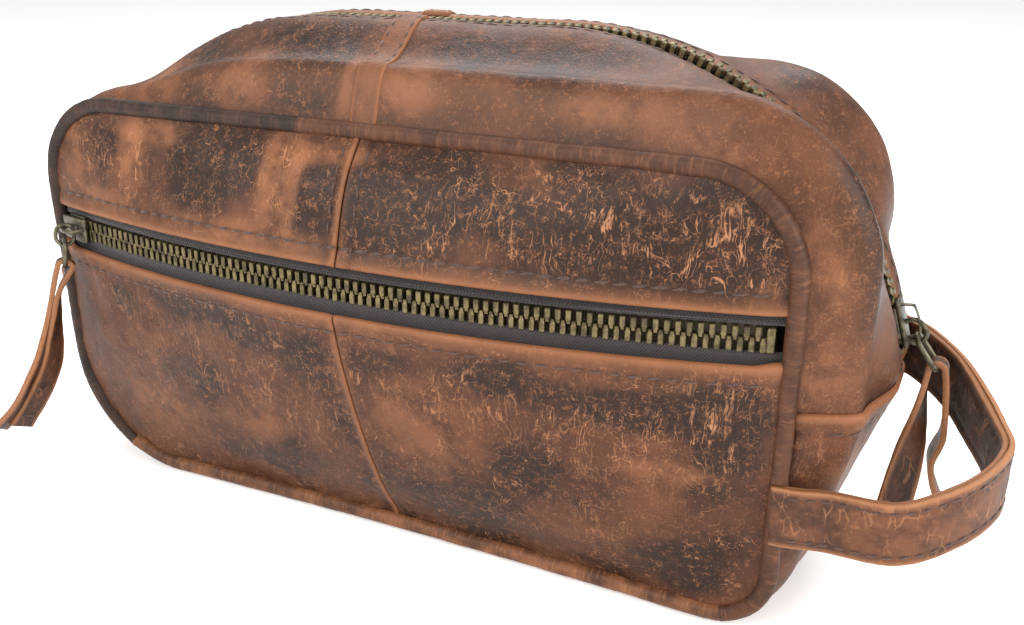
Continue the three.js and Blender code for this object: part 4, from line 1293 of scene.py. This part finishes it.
def sliderPiece(name, matrix):
    half, wide, face, plate = slider["long"] / 2, slider["wide"], slider["face"], slider["plate"]
    parts = []
    for level in (1, -1):
        block = roundedBlock("plate", (slider["long"], wide, plate), 0.42)
        for v in block.data.vertices:  # narrow throat end, waisted middle, broad round mouth
            t = (v.co.x + half) / slider["long"]
            waist = 0.80 + 0.20 * t - 0.16 * math.sin(math.pi * min(1, t * 1.25)) * (abs(v.co.y) > 2)
            roundness = 1 - 0.30 * max(0, t - 0.80) / 0.2
            v.co.y *= waist * roundness
            v.co.z += level * (face + plate / 2) + level * 0.25 * (1 - (2 * t - 1) ** 2)
        parts.append(block)
    for side in (1, -1):
        for level in (1, -1):
            lip = roundedBlock("lip", (slider["long"] - 4.2, 0.75, 0.85), 0.25, 2)
            for v in lip.data.vertices:
                v.co += Vector((-0.7, side * (wide / 2 - 1.0), level * (face - 0.35)))
            parts.append(lip)
    post = roundedBlock("post", (2.2, 0.5, 2 * face + 0.5), 0.15, 1)
    for v in post.data.vertices:
        v.co.x += half - 1.4
    parts.append(post)
    bpy.ops.object.select_all(action="DESELECT")
    bpy.ops.mesh.primitive_torus_add(
        major_radius=1, minor_radius=0.16, major_segments=40, minor_segments=12
    )
    crown = bpy.context.object
    bpy.ops.object.mode_set(mode="EDIT")
    bpy.ops.mesh.select_all(action="SELECT")
    bpy.ops.mesh.bisect(plane_co=(0, 0, 0), plane_no=(0, 1, 0), clear_inner=True, use_fill=True)
    bpy.ops.object.mode_set(mode="OBJECT")
    for v in crown.data.vertices:  # stood up on the plate and flattened on top
        x, y, z = v.co
        ring = math.hypot(x, y)
        flat = ring ** 0.5
        square = max(abs(x), abs(y)) / max(ring, 1e-6)
        swell = 1 + (1 / square - 1) * 0.55
        v.co = (x * 4.3 * swell / flat, z * 4.6, face + plate * 0.6 + y * 3.7 * swell / flat)
    bpy.ops.object.shade_smooth_by_angle(angle=math.radians(50))
    parts.append(crown)
    bpy.ops.object.select_all(action="DESELECT")
    for part in parts:
        part.select_set(True)
    bpy.context.view_layer.objects.active = parts[0]
    bpy.ops.object.join()
    parts[0].name = name
    return placed(parts[0], matrix)


def ringPiece(name, long, wide, wire, flatten, matrix):
    bpy.ops.object.select_all(action="DESELECT")
    bpy.ops.mesh.primitive_torus_add(
        major_radius=wide / 2 - wire, minor_radius=wire, major_segments=36, minor_segments=12
    )
    ring = bpy.context.object
    ring.name = name
    stretch = (long - wide) / 2
    for v in ring.data.vertices:  # drawn out to an oblong standing in its own YZ plane
        x, y, z = v.co
        pull = stretch * max(-1.0, min(1.0, x / (wire * 1.5)))
        v.co = (z * flatten, y, x + pull)
    bpy.ops.object.shade_smooth()
    return placed(ring, matrix)


def joined(pieces, name):
    bpy.ops.object.select_all(action="DESELECT")
    for piece in pieces:
        piece.select_set(True)
    bpy.context.view_layer.objects.active = pieces[0]
    bpy.ops.object.join()
    pieces[0].name = name
    return pieces[0]


link = {  # where each slider rests and how its link hangs from it
    "depth": 2.65, "long": 12.6, "mainAngle": 17, "mainLean": 37, "mainOut": 3.9, "mainAlong": 1.3,
    "frontX": -101.5, "frontLean": -12, "frontRise": 1.7,
}
restAngle = math.radians(link["mainAngle"])
chainR = arch["rightR"] - link["depth"]
mainOutward = Vector((math.cos(restAngle), 0, math.sin(restAngle)))
mainTravel = Vector((math.sin(restAngle), 0, -math.cos(restAngle)))
mainAt = Vector((arch["rightX"], 0, arch["rightZ"])) + mainOutward * chainR
mainSlider = sliderPiece(
    "mainZipSlider", frameMatrix(mainAt, mainTravel, mainOutward.cross(mainTravel), mainOutward)
)
settle(mainSlider, "bronze", "main_slider", ["main_zip_slider"])
mainPivot = mainAt + mainOutward * link["mainOut"] + mainTravel * link["mainAlong"]
lean = math.radians(link["mainLean"])
mainDown = Vector((math.sin(lean), 0, -math.cos(lean)))
mainFold = mainPivot + mainDown * link["long"]

frontChainR = frontZip["r"] - link["depth"]
frontAngle = math.asin(link["frontX"] / frontChainR)
frontOutward = Vector((math.sin(frontAngle), -math.cos(frontAngle), 0))
frontTravel = Vector((-math.cos(frontAngle), -math.sin(frontAngle), 0))
centreY = frontZip["r"] - seam["depth"] - frontZip["bulge"]
frontAt = Vector((link["frontX"], centreY - frontChainR * math.cos(frontAngle), frontZip["z"]))
frontSlider = sliderPiece(
    "frontZipSlider", frameMatrix(frontAt, frontTravel, frontOutward.cross(frontTravel), frontOutward)
)
settle(frontSlider, "bronze", "front_slider", ["front_zip_slider"])
twist = math.atan2(0.76, 0.65)
frontTurn = Matrix.Rotation(math.radians(link["frontLean"]), 3, "X") @ Matrix.Rotation(twist, 3, "Z")
frontPivot = frontAt + frontOutward * slider["bar"]
frontFold = frontPivot + frontTurn @ Vector((0, 0, link["frontRise"] - link["long"]))


def linkPair(name, pivot, fold, side, body, node):
    # a small ring on the slider's crown and an oblong one through the leather
    down = (fold - pivot).normalized()
    side = (side - down * side.dot(down)).normalized()
    thick = side.cross(down)
    span = (fold - pivot).length
    oblong = span - 3.4
    small = ringPiece("small", 7.4, 6.4, 0.6, 1.0, frameMatrix(pivot + down * 2.3, side, thick, -down))
    middle = pivot + down * (span - oblong / 2 + 0.05)
    large = ringPiece("large", oblong + 1.3, 7.0, 0.6, 1.15, frameMatrix(middle, thick, side, -down))
    settle(joined([small, large], name), "bronze", body, [node])


across = Vector((0, 1, 0))
linkPair("mainZipLink", mainPivot - mainDown * 0.6, mainFold, across, "main_link", "main_zip_link")
frontTop = frontPivot + Vector((0, 0, 1.1))
linkPair("frontZipLink", frontTop, frontFold, frontTurn @ across, "front_link", "front_zip_link")
print("sliders and links made")


# ---- leather pulls and handle: strips of leather along a curve ----
def curveThrough(points, count):
    p = np.array(points, float)
    p = np.concatenate([[2 * p[0] - p[1]], p, [2 * p[-1] - p[-2]]])
    t = np.linspace(0, len(p) - 3, count * 6)
    i = np.minimum(t.astype(int), len(p) - 4)
    w = (t - i)[:, None]
    a, b, c, d = (p[i + k] for k in range(4))
    line = 0.5 * (2 * b + (c - a) * w + (2 * a - 5 * b + 4 * c - d) * w**2 + (3 * b - a - 3 * c + d) * w**3)
    length = np.concatenate([[0], np.cumsum(np.linalg.norm(np.diff(line, axis=0), axis=1))])
    even = np.linspace(0, length[-1], count)
    return np.stack([np.interp(even, length, line[:, k]) for k in range(line.shape[1])], axis=-1)


def strip(name, line, sides, wide, wall, seed, rowsAt=()):
    # sides gives the way across the strip at each point of its line
    length = np.concatenate([[0], np.cumsum(np.linalg.norm(np.diff(line, axis=0), axis=1))])
    run = np.gradient(line, axis=0)
    run /= np.linalg.norm(run, axis=1, keepdims=True)
    sides = sides - run * np.sum(sides * run, axis=1, keepdims=True)
    sides /= np.linalg.norm(sides, axis=1, keepdims=True)
    face = np.cross(run, sides)
    v = crowded(float(np.max(wide)), 0.9, 0.55)
    wide = np.broadcast_to(wide, length.shape)
    V = (v - 0.5)[None, :]
    points = line[:, None, :] + sides[:, None, :] * (V * wide[:, None])[..., None]
    edge = (0.5 - np.abs(V)) * wide[:, None]
    lift = 0.22 * noiseAt(points, 9, seed) + 0.09 * noiseAt(points, 2.6, seed + 3)
    groove = np.zeros(points.shape[:2])
    for inset in rowsAt:
        groove = groove + near(edge - inset, 0.6)
    lift = lift - 0.22 * groove
    masks = {
        "wear": np.clip(1.1 * near(edge, 0.65), 0, 1),
        "groove": np.clip(groove * 0.8, 0, 1),
    }
    rolls = (0.3, 0.3, 0.45, 0.45)
    return leatherSheet(name, points, face[:, None, :], wall, rolls, lift + wall / 2, masks)


pull = {"wide": 8.6, "wall": 1.5, "bend": 1.9}


def pullStrip(name, outward, fold, tails, sideStart, sideEnds, body, node, seed):
    # one strip folded over the link: down one tail, up round the wire and down the other
    back, ahead = tails
    arcs = [fold + outward * (pull["bend"] * math.cos(a)) + Vector((0, 0, pull["bend"] * math.sin(a)))
            for a in np.linspace(math.pi, 0, 7)]
    points = [fold + Vector(p) for p in reversed(back)] + arcs + [fold + Vector(p) for p in ahead]
    line = curveThrough([p[:] for p in points], 150)
    crest = np.array((fold + Vector((0, 0, pull["bend"])))[:])
    middle = int(np.argmin(np.linalg.norm(line - crest, axis=1)))
    t = np.linspace(0, 1, 150)
    fromFold = np.abs(t - t[middle]) / np.where(t < t[middle], t[middle], 1 - t[middle])
    wide = pull["wide"] * (0.52 + 0.48 * smooth((fromFold - 0.10) / 0.22))
    turned = smooth((fromFold - 0.08) / 0.75)[:, None]
    ends = np.where((t < t[middle])[:, None], np.array(sideEnds[0]), np.array(sideEnds[1]))
    sides = np.array(sideStart)[None, :] * (1 - turned) + ends * turned
    piece = strip(name, line, sides, wide, pull["wall"], seed)
    return settle(piece, "pull", body, [node])


pullStrip(
    "mainZipPull", Vector((1, 0, 0)), mainFold,
    ([(-2.4, -1.6, -8), (-3.0, -4.0, -17), (-3.8, -6.6, -26), (-4.6, -9.0, -33), (-5.4, -11.0, -38)],
     [(3.0, 0, -8), (3.6, 0, -17), (1.8, 0.2, -25), (4.0, 0, -33), (8.6, -0.4, -41.5)]),
    (0, 1, 0), ((0.82, 0.5, 0.12), (-0.15, 1, 0)), "main_pull", "main_zip_pull", 33.0,
)
frontTails = (
    [(-1.6, 0, -8), (-2.4, 0, -18), (-3.4, 0.4, -30), (-7.4, 1.0, -41), (-12.0, 1.8, -50)],
    [(-3.4, 0, -8), (-4.6, 0, -18), (-6.6, -0.3, -30), (-11, -1.0, -41), (-17.5, -2.0, -49.5)],
)


def frontTurned(points):
    return [tuple(frontTurn @ Vector(p)) for p in points]


pullStrip(
    "frontZipPull", frontTurn @ Vector((-1, 0, 0)), frontFold, [frontTurned(tail) for tail in frontTails],
    frontTurned([(0, 1, 0)])[0], frontTurned([(0.75, 0.66, 0), (0.55, 0.83, 0)]),
    "front_pull", "front_zip_pull", 44.0,
)

handle = {
    "wide": 15.6, "wall": 1.35, "rows": 2.2,
    "path": [
        (110.6, -36.0, 36.4), (116.5, -35.8, 36.7), (123.8, -35, 37.3), (138, -36.3, 38.8),
        (148, -31.5, 42), (155.6, -23, 45), (158.8, -13, 47.2), (156, -4, 49.2), (151.8, 4, 52),
        (146, 13, 56), (138.9, 21, 58.6), (131.9, 27.5, 59.4), (123.8, 33, 58.5),
        (116.5, 35.3, 57.2), (110.6, 36.0, 56.2),
    ],
}


def handleLine():
    line = curveThrough(handle["path"], 230)
    run = np.gradient(line, axis=0)
    flat = run.copy()
    flat[:, 2] = 0
    flat /= np.linalg.norm(flat, axis=1, keepdims=True)
    out = np.stack([flat[:, 1], -flat[:, 0], 0 * flat[:, 0]], axis=-1)
    wide = np.cross(out, run)
    wide /= np.linalg.norm(wide, axis=1, keepdims=True)
    return line, out, wide


line, handleOut, handleWide = handleLine()
handleParts = {}
for key, shift, finish, node, seed in (
    ("Outer", 0.72, "handle", "handle_outer", 55.0), ("Inner", -0.72, "handleInner", "handle_inner", 66.0),
):
    sign = 1 if key == "Outer" else -1
    wide = handle["wide"] - 0.4 * (key == "Inner")
    strap = strip(
        f"handle{key}Strap", line + handleOut * shift, handleWide * sign, wide, handle["wall"], seed,
        rowsAt=(handle["rows"],),
    )
    handleParts[key] = settle(strap, finish, None, [node])
print("pulls and handle made")


# ---- stitch rows ----
def row(count, make):
    return np.array([make(t) for t in np.linspace(0, 1, count)])


def alongX(x0, x1, z):
    return row(60, lambda t: (mix(x0, x1, t), frontFace(mix(x0, x1, t), z), z))


for word, level, z in (("Above", "upper", front["stitchUp"]), ("Below", "lower", front["stitchLow"])):
    onto = [frontPieces[level + sideWord] for sideWord in ("Left", "Right")]
    stitchRow(f"stitches{word}FrontZip", alongX(-105, 106, z), onto, "bag")
for name, x in jointRowAt.items():
    path = row(20, lambda t: (x, float(frontFace(x, mix(88.5, 114.5, t))), mix(88.5, 114.5, t)))
    stitchRow(f"stitchesFrontJoint{name}", path, [frontPieces["upper" + name]], "bag")
for key, x in jointRowAt.items():
    def backPoint(t):
        z = mix(6, 114, t)
        return x + float(jointX(z)), float(backFace(x, z)), z
    stitchRow(f"stitchesBackJoint{key}", row(50, backPoint), [backPieces[key]], "bag")


def gussetRow(side, from_, to, inward, count=160):
    s = np.linspace(from_, to, count)
    q = 1 - (zipOpening(s) + inward) / seam["depth"]
    return gusset(side, s, q)


for word, side in (("Front", -1), ("Back", 1)):
    for key, from_, to in (
        ("Right", share["rightBand"] + 0.004, shareAtTop(half + 0.6)),
        ("Left", shareAtTop(-half - 0.6), share["leftBand"] - 0.004),
    ):
        path = gussetRow(side, from_, to, top["stitchIn"])
        stitchRow(f"stitchesMainZip{word}{key}", path, [topPieces[word + key]], "bag")
    for edge, key in ((half - 1.2, "A"), (1.2 - half, "B")):
        s = shareAtTop(edge)
        q = np.linspace(0.10, 1 - 6.6 / seam["depth"], 40)
        path = gusset(side, np.full(40, s), q)
        stitchRow(f"stitches{word}Strip{key}", path, [topPieces[word + "Strip"]], "bag", pitch=3.4)
bandRowIn = bandStitchIn / seamLength[-1] / bandStretch
for key, at in (("Right", 1 + share["rightBand"] - bandRowIn), ("Left", share["leftBand"] + bandRowIn)):
    path = bandSurface(np.full(80, at), np.linspace(0.04, 0.96, 80))
    stitchRow(f"stitchesBand{key}", path, [band], "bag")
handleStitches = []
for edge, key in ((1, "Top"), (-1, "Bottom")):
    path = line + handleOut * 1.6 + handleWide * edge * (handle["wide"] / 2 - handle["rows"])
    name = f"stitchesHandle{key}"
    made = stitchRow(name, path[6:-6], [handleParts["Outer"]], None, radius=0.34, pitch=3.6)
    handleStitches.append(made)
for piece in [*handleParts.values(), *handleStitches]:
    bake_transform(piece)
print("stitches made")


# ---- inner pieces carried over from the frame ----
for name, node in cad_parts.items():
    if "lining" in name:
        node.data.materials.clear()
        node.data.materials.append(finishes["lining"])
    if "piping_cord" in name:
        node.data.materials.clear()
        node.data.materials.append(finishes["filler"])


# ---- floor ----
def addFloor():
    bpy.ops.object.select_all(action="DESELECT")
    bpy.ops.mesh.primitive_grid_add(x_subdivisions=4, y_subdivisions=4, size=12)
    floor = bpy.context.object
    floor.name = "studioFloor"
    f = Finish("studioFloor")
    cloud = f.noise(f.place(), 900, 2)
    f.done(Base_Color=f.blend(cloud * 0.04, (0.90, 0.90, 0.90), (0.86, 0.87, 0.88)), Roughness=0.9,
           Emission_Color=(1, 1, 1, 1), Emission_Strength=0.30)
    floor.data.materials.append(f.material)


addFloor()
